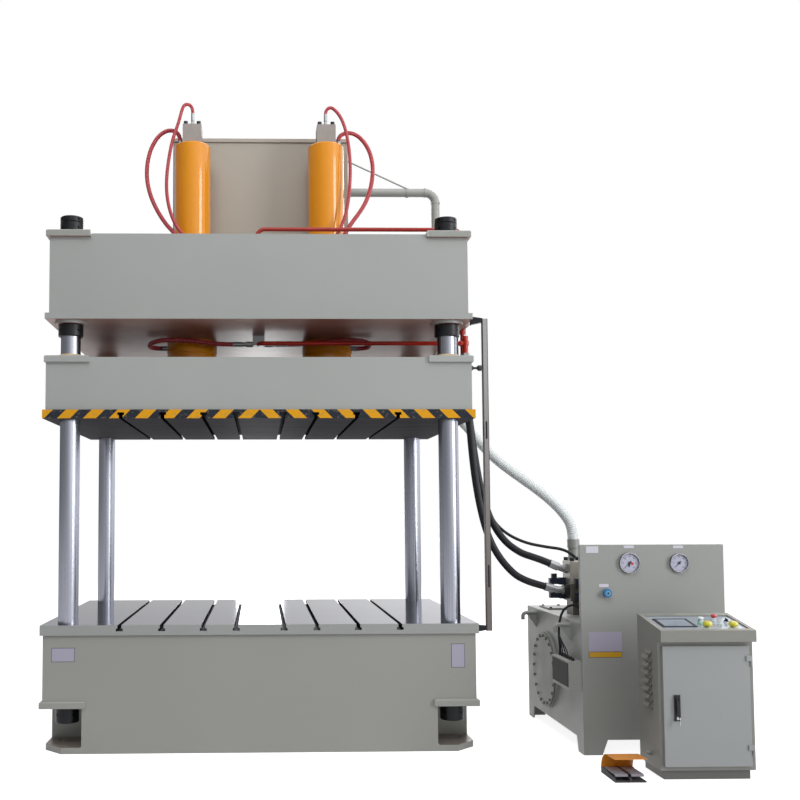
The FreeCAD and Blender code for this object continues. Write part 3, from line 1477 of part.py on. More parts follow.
def cabinet_shell():
    """Sheet cabinet: folded outline with a constant wall, open at the door and at the desk panel."""
    back, front, lip = console_back, console_front, console_front - console_lip
    outline = [(back, plinth_height), (back, console_top), (lip, console_lip_top), (lip, console_lip_bottom),
               (front, console_lip_bottom), (front, plinth_height)]
    corners = [point(console_left, y, z) for y, z in outline]
    outer = Part.Wire(Part.makePolygon(corners + [corners[0]]))
    inner = outer.makeOffset2D(-console_wall, 2)
    shell = Part.Face(outer).extrude(point(console_width, 0, 0))
    hollow = Part.Face(inner).extrude(point(console_width - 2 * console_wall, 0, 0))
    return shell.cut(hollow.translated(point(console_wall, 0, 0)))


def louvre(level):
    """Slot in the left side with its inclined hood above."""
    face = console_left
    hood = prism([point(face, louvre_y[0], level),
                  point(face - louvre_out, louvre_y[0], level - louvre_height),
                  point(face - louvre_out + 2, louvre_y[0], level - louvre_height),
                  point(face, louvre_y[0], level - 5)], point(0, louvre_y[1] - louvre_y[0], 0))
    slot = block((face - 1, face + console_wall + 1), (louvre_y[0] + 4, louvre_y[1] - 4),
                 (level - louvre_height, level - louvre_height / 2))
    return hood, slot


def console_cabinet():
    middle = console_left + console_width / 2
    plinth = block((console_left + plinth_side_inset, console_right - plinth_side_inset),
                   (console_front + plinth_inset, console_back - plinth_inset / 2), (0, plinth_height))
    rim = block((inset_x[0] - console_wall, inset_x[1] + console_wall),
                (inset_s[0] - console_wall, inset_s[1] + console_wall), (panel_level, -console_wall / 2))
    opening = block(inset_x, inset_s, (panel_level - 1, 1))
    door_way = block((console_left + door_margin + door_frame,
                      console_right - door_margin - hinge_side - door_frame),
                     (console_front - 1, console_front + console_wall + 1),
                     (door_bottom + door_frame, door_top - door_frame))
    hoods = []
    slots = []
    for n in range(louvre_count):
        hood, slot = louvre(louvre_top - n * louvre_pitch)
        hoods += both_sides(hood, middle)
        slots += both_sides(slot, middle)
    knuckles = []
    for level in hinge_places:
        low = level - hinge_length / 2
        knuckles.append(round_bar(hinge_radius, point(hinge_x, hinge_y, low), point(hinge_x, hinge_y, level)))
        knuckles.append(round_bar(hinge_pin_radius, point(hinge_x, hinge_y, level),
                                  point(hinge_x, hinge_y, level + hinge_length / 2 - hinge_pin_radius)))
        knuckles.append(block((hinge_x - hinge_radius * 0.6, hinge_x + hinge_radius * 0.6),
                              (hinge_y, console_front),
                              (low, level)))
    gland_z = door_bottom + 2 * inset_margin
    gland = turned([(0, 0), (port_radius, 0), (port_radius, port_radius), (port_radius / 2, 2 * port_radius),
                    (0, 2 * port_radius)], point(console_left, (louvre_y[0] + louvre_y[1]) / 2, gland_z),
                   X * -1)
    shell = fused([cabinet_shell(), plinth, on_desk(rim), gland] + hoods + knuckles)
    return shell.cut([on_desk(opening), door_way] + slots)


def push_place(place):
    return point(place[0], place[1], panel_level)


def bezel(place, inner, outer, height):
    return turned([(inner, 0), (outer, 0), (outer, height - 1), (outer - 1, height), (inner, height)],
                  push_place(place))


def console_panel():
    """Sunk desk panel with the collars of its push buttons and the green pilot lamp."""
    sheet = block((inset_x[0] - inset_ledge, inset_x[1] + inset_ledge), (inset_s[0] - inset_ledge,
                  inset_s[1] + inset_ledge), (panel_level - inset_sheet, panel_level))
    wide = push_radius + collar_wall
    stemmed = {palm_places[0]: collar_height, palm_places[1]: collar_height, selector_place: collar_height,
               stop_place: stop_collar, white_place: white_collar}
    collars = [bezel(place, button_bore, wide, height) for place, height in stemmed.items()]
    collars.append(bezel(green_place, push_radius + tube_gap, wide, collar_height))
    lens = turned([(0, 0), (wide, 0), (wide, collar_height), (push_radius, collar_height),
                   (push_radius * 0.8, collar_height * 1.6), (0, collar_height * 1.9)],
                  push_place(lamp_place))
    bores = [round_bar(button_bore, push_place(place) - Z * (2 * inset_sheet),
                       push_place(place) + Z * collar_height)
             for place in list(stemmed) + [green_place]]
    cut_out = block((screen_x[0] + screen_margin - tube_gap, screen_x[1] - screen_margin + tube_gap),
                    (screen_s[0] + screen_margin - tube_gap, screen_s[1] - screen_margin + tube_gap),
                    (panel_level - 2 * inset_sheet, panel_level + 1))
    return on_desk(fused([sheet, lens] + collars).cut(bores + [cut_out]))


def touch_screen():
    front = bevelled_plate(screen_x, screen_s, (panel_level, panel_level + screen_rise), screen_rise / 3)
    glass = block((screen_x[0] + 2 * screen_margin, screen_x[1] - 2 * screen_margin),
                  (screen_s[0] + 1.6 * screen_margin, screen_s[1] - 1.6 * screen_margin),
                  (panel_level + screen_rise - 1, panel_level + screen_rise + 1))
    body = block((screen_x[0] + screen_margin, screen_x[1] - screen_margin),
                 (screen_s[0] + screen_margin, screen_s[1] - screen_margin),
                 (panel_level - screen_body, panel_level))
    return on_desk(fused([front, body]).cut(glass))


def mushroom(place, radius, height, collar):
    """Domed push button on its stem, resting clear above its collar."""
    low = point(0, 0, -button_stem_length)
    rest = collar + cap_clearance
    rim = point(radius, 0, rest + 0.35 * height)
    top = point(radius * 0.2, 0, rest + height)
    middle = point(radius * 0.8, 0, rest + 0.8 * height)
    corners = [top, point(0, 0, rest + height), low, point(button_stem_radius, 0, -button_stem_length),
               point(button_stem_radius, 0, rest), point(radius, 0, rest), rim]
    edges = [Part.LineSegment(one, other).toShape() for one, other in zip(corners, corners[1:])]
    edges.append(Part.Arc(rim, middle, top).toShape())
    solid = Part.Face(Part.Wire(edges)).revolve(point(0, 0, 0), Z, 360)
    return on_desk(solid.translated(push_place(place)))


def flush_button(place):
    low = collar_height - button_travel + 1
    top = collar_height + push_height / 2
    return on_desk(turned([(0, -button_stem_length), (button_stem_radius, -button_stem_length),
                           (button_stem_radius, low), (push_radius, low), (push_radius, top - 1),
                           (push_radius - 1, top), (0, top)], push_place(place)))


def selector_knob():
    base = collar_height + tube_gap
    disc = turned([(0, -button_stem_length), (button_stem_radius, -button_stem_length),
                   (button_stem_radius, base),
                   (push_radius + 2, base), (push_radius + 2, base + 5), (push_radius, base + 6),
                   (0, base + 6)],
                  push_place(selector_place))
    x, s = selector_place
    grip = bevelled_plate((x - 4, x + 4), (s - push_radius, s + push_radius),
                          (panel_level + base + 2, panel_level + base + 18), 2)
    return on_desk(fused([disc, grip]))


def console_door():
    """Folded sheet door with the upper knuckles of its lift-off hinges."""
    left = console_left + door_margin
    right = console_right - door_margin - hinge_side
    front = console_front - door_depth
    back = console_front - door_seal
    skin = block((left, right), (front, back), (door_bottom, door_top))
    hollow = block((left + door_sheet, right - door_sheet), (front + door_sheet, back + 1),
                   (door_bottom + door_sheet, door_top - door_sheet))
    knuckles = []
    bores = []
    for level in hinge_places:
        low = level + hinge_gap
        high = level + hinge_length / 2
        knuckles.append(round_bar(hinge_radius, point(hinge_x, hinge_y, low), point(hinge_x, hinge_y, high)))
        knuckles.append(block((right - 3 * hinge_radius, hinge_x), (front - hinge_radius, front),
                              (low, high)))
        bores.append(round_bar(hinge_pin_radius + hinge_pin_gap, point(hinge_x, hinge_y, low - 1),
                               point(hinge_x, hinge_y, high + 1)))
    half = lock_width / 2 - lock_depth / 2 + tube_gap
    way = block((lock_x - half, lock_x + half), (front - 1, front + door_sheet + 1),
                (lock_z[0] + lock_depth / 2 - tube_gap, lock_z[1] - lock_depth / 2 + tube_gap))
    return fused([skin.cut(hollow)] + knuckles).cut(bores + [way])


def door_lock_base():
    """Black lock plate on the door, body behind it, bored for the handle's hub and the key."""
    front = console_front - door_depth
    half = lock_width / 2
    inset = lock_depth / 2
    plate = block((lock_x - half, lock_x + half), (lock_face, front), lock_z)
    rim = [edge for edge in plate.Edges if all(abs(v.Y - lock_face) < 1e-6 for v in edge.Vertexes)]
    plate = plate.makeChamfer(2, rim)
    body = block((lock_x - half + inset, lock_x + half - inset), (front, console_front - door_seal - 2),
                 (lock_z[0] + inset, lock_z[1] - inset))
    barrel = round_bar(9, point(lock_x, lock_face, key_z), point(lock_x, lock_face - 3, key_z))
    hub = round_bar(hub_radius + needle_gap, point(lock_x, lock_face - 1, pivot_z),
                    point(lock_x, console_front, pivot_z))
    key_way = round_bar(2 + needle_gap, point(lock_x, lock_face - 4, key_z),
                        point(lock_x, lock_face + 8, key_z))
    return fused([plate, body, barrel]).cut([hub, key_way])


def door_handle_hub():
    """Turning hub with the tongue and cross pin that carry the lever."""
    disc = round_bar(hub_radius, point(lock_x, lock_face + 0.3, pivot_z),
                     point(lock_x, console_front - 3, pivot_z))
    tongue = block((lock_x - 4, lock_x + 4), (pivot_y - 4, lock_face + 1), (pivot_z - 4.5, pivot_z + 4.5))
    pin = round_bar(2.5, point(lock_x - lever_width / 2 + 1, pivot_y, pivot_z),
                    point(lock_x + lever_width / 2 - 1, pivot_y, pivot_z))
    return fused([disc, tongue, pin])


def door_lever():
    """Swing lever: rounded at its pivot, slotted for the tongue, tapered to its lower end."""
    half = lever_width / 2
    low = lock_z[0] + lever_end_rise
    thick = lever_depth / 2
    outline = [point(lock_x - half, pivot_y - thick, pivot_z), point(lock_x + half, pivot_y - thick, pivot_z),
               point(lock_x + half * 0.8, pivot_y - thick, low),
               point(lock_x - half * 0.8, pivot_y - thick, low)]
    blade = prism(outline, point(0, lever_depth, 0))
    head = round_bar(thick, point(lock_x - half, pivot_y, pivot_z), point(lock_x + half, pivot_y, pivot_z))
    slot = block((lock_x - 4.4, lock_x + 4.4), (pivot_y - thick - 1, pivot_y + thick + 1),
                 (pivot_z - 12, pivot_z + thick + 1))
    bore = round_bar(2.5 + needle_gap, point(lock_x - half - 1, pivot_y, pivot_z),
                     point(lock_x + half + 1, pivot_y, pivot_z))
    return fused([blade, head]).cut([slot, bore])


def door_key():
    """Key in the lock, its bow on edge and a tag below."""
    nose = lock_face - 3
    shank = round_bar(2, point(lock_x, nose + 10, key_z), point(lock_x, nose - 8, key_z))
    bow = round_bar(key_bow, point(lock_x - 1.2, nose - 6 - key_bow, key_z),
                    point(lock_x + 1.2, nose - 6 - key_bow, key_z))
    eye = round_bar(key_bow / 3, point(lock_x - 2, nose - 6 - key_bow * 1.3, key_z),
                    point(lock_x + 2, nose - 6 - key_bow * 1.3, key_z))
    tag = block((lock_x - 1.2, lock_x + 1.2), (nose - 12 - key_bow, nose - key_bow),
                (key_z - key_bow - key_drop, key_z))
    return fused([shank, bow, tag]).cut(eye)


def control_gear():
    """Mounting plate on the cabinet's back wall with rows of control gear."""
    back = console_back - console_wall
    face = back - gear_stand_off - gear_plate_thickness
    left = console_left + gear_plate_inset
    right = console_right - gear_plate_inset
    plate = block((left, right), (face, back - gear_stand_off), gear_plate_z)
    wide = gear_stand_off
    spacers = [block((x, x + wide), (back - gear_stand_off, back), (z, z + wide))
               for x in (left + gear_spacer_inset,
                         right - gear_spacer_inset - wide) for z in gear_spacer_levels]
    units = [block((left + x, left + x + width), (face - deep, face), (low, low + height))
             for x, width, deep, low, height in gear_units]
    return fused([plate] + spacers + units)


save("console_cabinet", [console_cabinet()])
save("console_panel", [console_panel()])
save("touch_screen", [touch_screen()])
save("stop_button", [mushroom(stop_place, stop_radius, stop_height, stop_collar)])
save("palm_button_left", [mushroom(palm_places[0], palm_radius, palm_height, collar_height)])
save("palm_button_right", [mushroom(palm_places[1], palm_radius, palm_height, collar_height)])
save("white_button", [mushroom(white_place, white_radius, white_height, white_collar)])
save("green_button", [flush_button(green_place)])
save("selector_knob", [selector_knob()])
save("console_door", [console_door()])
save("door_lock_base", [door_lock_base()])
save("door_handle_hub", [door_handle_hub()])
save("door_lever", [door_lever()])
save("door_key", [door_key()])
save("control_gear", [control_gear()])


# ---------------------------------------------------------------- foot switch
hood_bend_z = hood_top - hood_radius


def foot_wall(front, left, width):
    """Upright wall from a front edge to the back of the base, eased where the hood turns over it."""
    high = pedal_wall_height + pedal_wall_rise
    low = pedal_wall_height - pedal_wall_rise
    lug = pedal_pivot_y - pedal_lug
    outline = [(front, 0), (pedal_back, 0), (pedal_back, hood_bend_z - pedal_rise),
               (pedal_back - pedal_wall, high),
               (lug, high)]
    if front < lug:
        outline.append((front, low))
    return prism([point(left, y, z) for y, z in outline], point(width, 0, 0))


def foot_base():
    """Open-fronted channel with a middle rib and one side wall; its pin carries both pedals."""
    floor = block((pedal_left, pedal_right), (pedal_front, pedal_back), (0, pedal_base_height))
    walls = [foot_wall(pedal_front, pedal_left, pedal_wall),
             foot_wall(pedal_front, pedal_middle - pedal_pitch_gap / 2, pedal_pitch_gap),
             foot_wall(pedal_pivot_y - pedal_lug, pedal_right - pedal_wall, pedal_wall)]
    rear = block((pedal_left, pedal_right), (pedal_back - pedal_wall, pedal_back),
                 (0, hood_bend_z - pedal_rise))
    pin = round_bar(pedal_pin_radius, point(pedal_left + 1, pedal_pivot_y, pedal_pivot_z),
                    point(pedal_right - 1, pedal_pivot_y, pedal_pivot_z))
    return fused([floor, rear, pin] + walls)


def foot_hood():
    """One bent sheet over the pedals, fixed to the back of the base."""
    back = pedal_back + hood_sheet
    bend_z = hood_bend_z
    bend_y = back - hood_radius
    diagonal = math.sqrt(0.5)
    rounds = []
    for radius in (hood_radius, hood_radius - hood_sheet):
        rounds.append((point(0, bend_y + radius, bend_z),
                       point(0, bend_y + radius * diagonal, bend_z + radius * diagonal),
                       point(0, bend_y, bend_z + radius)))
    outer, inner = rounds
    foot = pedal_wall
    front = back - hood_reach
    tip = point(0, front, outer[2].z + hood_tip_rise)
    inner_tip = point(0, front, inner[2].z + hood_tip_rise)
    edges = [Part.LineSegment(point(0, back, foot), outer[0]).toShape(), Part.Arc(*outer).toShape(),
             Part.LineSegment(outer[2], tip).toShape(), Part.LineSegment(tip, inner_tip).toShape(),
             Part.LineSegment(inner_tip, inner[2]).toShape(), Part.Arc(*inner).toShape(),
             Part.LineSegment(inner[0], point(0, back - hood_sheet, foot)).toShape(),
             Part.LineSegment(point(0, back - hood_sheet, foot), point(0, back, foot)).toShape()]
    sheet = Part.Face(Part.Wire(edges)).extrude(point(pedal_width + 2 * pedal_wall, 0, 0))
    return sheet.translated(point(pedal_left, 0, 0))


def foot_pedal(left):
    """Pedal plate with its pivot boss, a turned-down toe edge and grip ribs."""
    wide = (pedal_width - 2 * pedal_wall - pedal_pitch_gap) / 2 - 2 * pedal_rise
    top = pedal_wall_height + 10
    toe = pedal_pivot_y - pedal_length
    boss = pedal_pin_radius * 2.2
    outline = [(pedal_pivot_y - boss, pedal_pivot_z + boss), (pedal_pivot_y - boss, top),
               (toe, top + pedal_rise),
               (toe - pedal_plate, top + pedal_rise - pedal_plate),
               (toe - pedal_plate, top - 2 * pedal_plate),
               (toe, top - 2 * pedal_plate), (toe, top + pedal_rise - pedal_plate),
               (pedal_pivot_y - 3 * boss, top - pedal_plate),
               (pedal_pivot_y - 2 * boss, pedal_pivot_z - pedal_pin_radius),
               (pedal_pivot_y, pedal_pivot_z)]
    plate = prism([point(left, y, z) for y, z in outline], point(wide, 0, 0))
    eye = round_bar(boss, point(left, pedal_pivot_y, pedal_pivot_z),
                    point(left + wide, pedal_pivot_y, pedal_pivot_z))
    ribs = [block((left + wide * 0.12, left + wide * 0.88), (toe + n * 16, toe + n * 16 + 6), (top, top + 4))
            for n in range(1, 7)]
    bore = round_bar(pedal_pin_radius + pedal_pin_gap, point(left - 1, pedal_pivot_y, pedal_pivot_z),
                     point(left + wide + 1, pedal_pivot_y, pedal_pivot_z))
    return fused([plate, eye] + ribs).cut(bore)


save("foot_base", [foot_base()])
save("foot_hood", [foot_hood()])
save("pedal_left", [foot_pedal(pedal_left + pedal_wall + pedal_rise)])
save("pedal_right", [foot_pedal(pedal_middle + pedal_pitch_gap / 2 + pedal_rise)])
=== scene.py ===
import math

import bpy
from mathutils import Matrix, Vector


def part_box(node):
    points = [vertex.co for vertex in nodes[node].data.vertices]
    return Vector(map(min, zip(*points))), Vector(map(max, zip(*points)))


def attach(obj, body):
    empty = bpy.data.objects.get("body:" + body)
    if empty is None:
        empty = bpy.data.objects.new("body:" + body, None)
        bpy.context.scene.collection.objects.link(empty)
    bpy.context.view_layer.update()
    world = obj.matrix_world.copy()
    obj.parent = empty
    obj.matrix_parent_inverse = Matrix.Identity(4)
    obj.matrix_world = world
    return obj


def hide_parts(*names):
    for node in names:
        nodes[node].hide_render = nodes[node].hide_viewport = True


# Four-column hydraulic press with its power station, console and foot switch.
# Metres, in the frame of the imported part: floor at zero, front towards -Y, up +Z.

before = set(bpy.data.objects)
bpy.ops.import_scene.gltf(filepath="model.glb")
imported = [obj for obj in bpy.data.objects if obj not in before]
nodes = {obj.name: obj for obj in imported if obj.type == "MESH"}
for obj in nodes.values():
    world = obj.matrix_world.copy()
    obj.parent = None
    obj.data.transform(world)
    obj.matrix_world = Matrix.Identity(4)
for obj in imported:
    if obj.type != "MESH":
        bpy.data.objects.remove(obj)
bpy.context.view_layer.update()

# ---------------------------------------------------------------- sizes and places
# Guards and ribs of the hoses
guard_thickness = 0.0016
guard_gap = 0.0003
guard_pitch = 0.013
guard_strip_width = 0.0082
return_hose_root = 0.0425
return_hose_crest = 0.045
return_hose_pitch = 0.018
return_hose_cuff = 0.090

# Where a finish changes on a solid: depths, heights and places; skin is a hair's breadth beside a face
skin = 0.0005
stripe_pitch = 0.19
slot_shadow = 0.0025
wiper_height = 0.0245
corner_plate_start = 1.268
corner_plate_thickness = 0.0495
foot_plate_top = 0.06
striker_reach = 0.0835
striker_levels = (2.7, 2.86)
browned_levels = (2.9, 1.2)
bar_edge = (0.0135, 0.0165)
upper_pipes = (3.24, 3.16)
top_block_share = 0.42
screwed_ends = 0.135
terminal_cover = 0.0039
terminal_gland_height = 0.0218
plinth_top = 0.060
barrel_stand = 0.0025
lamp_right = 2.943

# Thin cables from the glands of the terminal box to the thick one
gland_x = 2.262
gland_top = 0.683
gland_places = (-0.874, -0.933, -0.992)
gland_cables_meet = -0.775
gland_cable_radius = 0.0042

# Plates, dials and desk; a dial is its middle across and up, and its radius
plate_thickness = 0.0015
plate_border = 0.004
border_thickness = 0.001
bed_plate_thickness = 0.0018
bed_front_behind_feet = 0.02
marking_thickness = 0.0003
dials = {"left": (2.667, 1.367, 0.069), "right": (3.029, 1.366, 0.063)}
dial_depth = 0.013
dial_sweep = math.radians(270)
desk_edge = (-1.877, 0.966)
desk_slope = math.atan2(1.039 - 0.966, -1.485 + 1.877)
desk_sunk = -0.008
screen_levels = (desk_sunk + 0.0038, desk_sunk + 0.0044)

# Louvres that the cabinet has between its slots
louvre_count = 7
louvre_top = 0.790
louvre_pitch = 0.052
louvre_height = 0.026
louvre_out = 0.011
louvre_ends = (-1.718, -1.618)

# Where the camera stood, how it was turned, its lens and the shift of its picture
camera_place = (0.0008, -8.1288, 1.7278)
camera_yaw = 0.0205
camera_pitch = 0.0585
camera_roll = -0.0030
camera_lens = 43.475
camera_shift = (0.1503, 0.0717)

# Half the width of the floor, and how far its own light lifts it towards white
floor_reach = 60.0
floor_lift = 0.86

# Hose routes from one screwed end to the other, each after the hose's outer radius
red_routes = {
    "hose_left_inner": (0.0145, (
        (-0.571, 0, 5.163), (-0.571, 0, 5.199), (-0.586, -0.005, 5.231), (-0.614, -0.015, 5.241),
        (-0.641, -0.027, 5.228), (-0.657, -0.037, 5.193), (-0.672, -0.048, 5.130), (-0.690, -0.060, 5.050),
        (-0.733, -0.092, 4.910), (-0.762, -0.118, 4.745), (-0.780, -0.140, 4.567), (-0.779, -0.155, 4.425),
        (-0.758, -0.175, 4.291), (-0.711, -0.205, 4.150), (-0.644, -0.238, 4.050), (-0.585, -0.275, 3.960),
        (-0.585, -0.275, 3.882))),
    "hose_left_outer": (0.018, (
        (-0.680, 0, 4.921), (-0.680, 0, 4.962), (-0.716, 0.012, 5.012), (-0.774, 0.018, 5.026),
        (-0.838, 0.018, 4.998), (-0.898, 0.010, 4.925), (-0.945, 0, 4.808), (-0.964, -0.020, 4.653),
        (-0.946, -0.050, 4.495), (-0.890, -0.090, 4.335), (-0.796, -0.150, 4.166), (-0.706, -0.200, 4.060),
        (-0.648, -0.238, 3.968), (-0.648, -0.238, 3.882))),
    "hose_right_inner": (0.0145, (
        (0.571, 0, 5.163), (0.571, 0, 5.196), (0.612, -0.010, 5.226), (0.660, -0.024, 5.186),
        (0.706, -0.042, 5.110), (0.741, -0.068, 4.990), (0.762, -0.098, 4.840), (0.770, -0.124, 4.680),
        (0.765, -0.142, 4.520), (0.747, -0.170, 4.341), (0.708, -0.208, 4.176), (0.658, -0.238, 4.064),
        (0.606, -0.266, 3.972), (0.606, -0.266, 3.882))),
    "hose_right_outer": (0.018, (
        (0.680, 0, 4.921), (0.680, 0, 4.958), (0.720, 0.006, 4.996), (0.780, 0.010, 5.008),
        (0.845, 0.010, 4.984), (0.902, 0.005, 4.926), (0.950, -0.004, 4.836), (0.976, -0.022, 4.700),
        (0.961, -0.050, 4.546), (0.919, -0.080, 4.401), (0.859, -0.118, 4.284), (0.778, -0.160, 4.171),
        (0.716, -0.190, 4.070), (0.680, -0.215, 3.976), (0.680, -0.215, 3.882))),
    "hose_gland_left": (0.0195, (
        (-0.220, -0.290, 3.113), (-0.330, -0.290, 3.113), (-0.493, -0.300, 3.136), (-0.655, -0.303, 3.147),
        (-0.766, -0.292, 3.148), (-0.855, -0.250, 3.144), (-0.908, -0.180, 3.134), (-0.919, -0.108, 3.124),
        (-0.878, -0.060, 3.118), (-0.815, -0.060, 3.118))),
    "hose_gland_right": (0.0195, (
        (0.230, -0.290, 3.113), (0.345, -0.290, 3.113), (0.523, -0.300, 3.136), (0.685, -0.303, 3.147),
        (0.796, -0.288, 3.148), (0.879, -0.236, 3.144), (0.920, -0.168, 3.136), (0.919, -0.104, 3.126),
        (0.878, -0.060, 3.118), (0.815, -0.060, 3.118))),
}
black_routes = {
    "main_hose_front": (0.0285, (
        (1.665, -0.400, 2.960), (1.665, -0.400, 2.780), (1.684, -0.400, 2.540), (1.702, -0.400, 2.270),
        (1.725, -0.405, 2.020), (1.762, -0.418, 1.770), (1.812, -0.440, 1.555), (1.890, -0.465, 1.385),
        (2.000, -0.500, 1.250), (2.075, -0.538, 1.205), (2.1532, -0.560, 1.1760), (2.2303, -0.560, 1.1554))),
    "main_hose_rear": (0.0285, (
        (1.665, -0.290, 2.960), (1.665, -0.290, 2.820), (1.702, -0.290, 2.610), (1.734, -0.290, 2.350),
        (1.765, -0.300, 2.100), (1.805, -0.322, 1.860), (1.868, -0.352, 1.655), (1.962, -0.390, 1.500),
        (2.074, -0.440, 1.412), (2.150, -0.480, 1.385), (2.2192, -0.500, 1.3607), (2.2884, -0.500, 1.3321))),
    "pilot_hose": (0.0125, (
        (1.640, -0.190, 3.180), (1.640, -0.190, 3.010), (1.662, -0.190, 2.800), (1.700, -0.188, 2.570),
        (1.745, -0.186, 2.310), (1.790, -0.188, 2.060), (1.840, -0.196, 1.840), (1.915, -0.210, 1.665),
        (2.015, -0.232, 1.560), (2.160, -0.262, 1.487), (2.320, -0.288, 1.454), (2.475, -0.304, 1.434),
        (2.575, -0.322, 1.356), (2.636, -0.340, 1.222), (2.650, -0.350, 1.104), (2.650, -0.350, 1.000))),
    "valve_cable": (0.009, (
        (2.480, -0.600, 1.000), (2.480, -0.645, 1.000), (2.446, -0.697, 1.018), (2.384, -0.742, 1.028),
        (2.328, -0.768, 1.014), (2.298, -0.766, 0.976), (2.285, -0.748, 0.922), (2.277, -0.745, 0.862),
        (2.270, -0.762, 0.808), (2.263, -0.795, 0.760), (2.262, -0.815, 0.722), (2.262, -0.815, 0.683))),
}
return_route = (
    (1.641, 0.700, 3.040), (1.641, 0.700, 2.886), (1.694, 0.672, 2.744), (1.786, 0.620, 2.622),
    (1.890, 0.566, 2.500), (1.994, 0.510, 2.346), (2.118, 0.452, 2.200), (2.268, 0.380, 2.070),
    (2.412, 0.300, 1.952), (2.528, 0.218, 1.838), (2.610, 0.160, 1.736), (2.685, 0.130, 1.608),
    (2.685, 0.130, 1.455))


# ---------------------------------------------------------------- node trees
def seen(red, green, blue):
    """Shader colour for a paint or plastic that is seen as this 0 to 255 mixture."""
    return tuple(((c / 255 + 0.055) / 1.055) ** 2.4 for c in (red, green, blue)) + (1.0,)


def add(tree, kind, inputs=None, **settings):
    """New node with its settings, and with each input given a value or joined to an output."""
    node = tree.nodes.new(kind)
    for name, value in settings.items():
        setattr(node, name, value)
    for socket, value in (inputs or {}).items():
        if isinstance(value, bpy.types.NodeSocket):
            tree.links.new(value, node.inputs[socket])
        else:
            node.inputs[socket].default_value = value
    return node


def worked(tree, operation, *values):
    """Output of a Math node."""
    return add(tree, "ShaderNodeMath", dict(enumerate(values)), operation=operation).outputs[0]


def plus(tree, first, second):
    return worked(tree, "ADD", first, second)


def minus(tree, first, second):
    return worked(tree, "SUBTRACT", first, second)


def times(tree, first, second):
    return worked(tree, "MULTIPLY", first, second)


def divided(tree, first, second):
    return worked(tree, "DIVIDE", first, second)


def above(tree, value, limit):
    """Mask: one where the value is over the limit."""
    return worked(tree, "GREATER_THAN", value, limit)


def below(tree, value, limit):
    """Mask: one where the value is under the limit."""
    return worked(tree, "LESS_THAN", value, limit)


def within(tree, value, low, high):
    """Mask: one between two limits."""
    return times(tree, above(tree, value, low), below(tree, value, high))


def vector_worked(tree, operation, inputs):
    """Vector output of a Vector Math node."""
    return add(tree, "ShaderNodeVectorMath", inputs, operation=operation).outputs[0]


def between(tree, value, low, high, to_low=0.0, to_high=1.0):
    """Value carried from one range to another and held inside it."""
    inputs = {"Value": value, "From Min": low, "From Max": high, "To Min": to_low, "To Max": to_high}
    return add(tree, "ShaderNodeMapRange", inputs, clamp=True).outputs["Result"]


def mixed(tree, share, first, second):
    """Colour between two colours."""
    inputs = {0: share, 6: first, 7: second}
    return add(tree, "ShaderNodeMix", inputs, data_type="RGBA", clamp_factor=True).outputs[2]


def group(name, takes, gives):
    """Shader group with named inputs, each (name, kind, value), and named outputs."""
    tree = bpy.data.node_groups.new(name, "ShaderNodeTree")
    for label, kind, value in takes:
        socket = tree.interface.new_socket(label, in_out="INPUT", socket_type="NodeSocket" + kind)
        socket.default_value = value
    for label, kind in gives:
        tree.interface.new_socket(label, in_out="OUTPUT", socket_type="NodeSocket" + kind)
    return tree, tree.nodes.new("NodeGroupInput").outputs, tree.nodes.new("NodeGroupOutput").inputs


def placed(tree, shared, inputs):
    """A shared group placed in a material with its own values."""
    return add(tree, "ShaderNodeGroup", inputs, node_tree=shared).outputs


def on_object(tree):
    return add(tree, "ShaderNodeTexCoord").outputs["Object"]


def coordinates(tree, place=None):
    """X, Y and Z of a place, or of the shaded point in the object's own frame."""
    return add(tree, "ShaderNodeSeparateXYZ", {0: on_object(tree) if place is None else place}).outputs


def facing_up(tree):
    """How far the surface faces up: one on a top, minus one on an underside."""
    return coordinates(tree, add(tree, "ShaderNodeNewGeometry").outputs["Normal"])["Z"]


def noise(tree, place, scale, detail=2.0, roughness=0.5):
    inputs = {"Vector": place, "Scale": scale, "Detail": detail, "Roughness": roughness}
    return add(tree, "ShaderNodeTexNoise", inputs).outputs["Fac"]


def make_sprayed_coat():
    """Clouded shade, orange peel and settled dust of a sprayed panel; the dust input also serves as painted
    light on upward faces.
    """
    tree, given, result = group("sprayed_coat", [
        ("Colour", "Color", (0.4, 0.4, 0.4, 1)), ("Clouding", "Float", 0.05), ("Peel Scale", "Float", 260.0),
        ("Gloss", "Float", 0.4), ("Dust And Top Light", "Float", 0.2)],
        [("Colour", "Color"), ("Roughness", "Float"), ("Height", "Float")])
    place = on_object(tree)
    cloud = noise(tree, place, 1.1, 4.0)
    darker = vector_worked(tree, "SCALE", {0: given["Colour"], "Scale": 0.84})
    share = times(tree, between(tree, cloud, 0.35, 0.7), times(tree, given["Clouding"], 6.0))
    shaded = mixed(tree, share, given["Colour"], darker)
    settled = between(tree, noise(tree, place, 3.0, 5.0), 0.4, 0.75)
    pale_top = times(tree, between(tree, facing_up(tree), 0.6, 0.95), settled)
    pale_top = times(tree, pale_top, given["Dust And Top Light"])
    tree.links.new(mixed(tree, pale_top, shaded, seen(196, 192, 182)), result["Colour"])
    rough = plus(tree, given["Gloss"], times(tree, pale_top, 0.3))
    rough = plus(tree, rough, between(tree, noise(tree, place, 6.0, 3.0), 0.3, 0.7, -0.04, 0.04))
    tree.links.new(rough, result["Roughness"])
    tree.links.new(noise(tree, place, given["Peel Scale"], 1.0), result["Height"])
    return tree


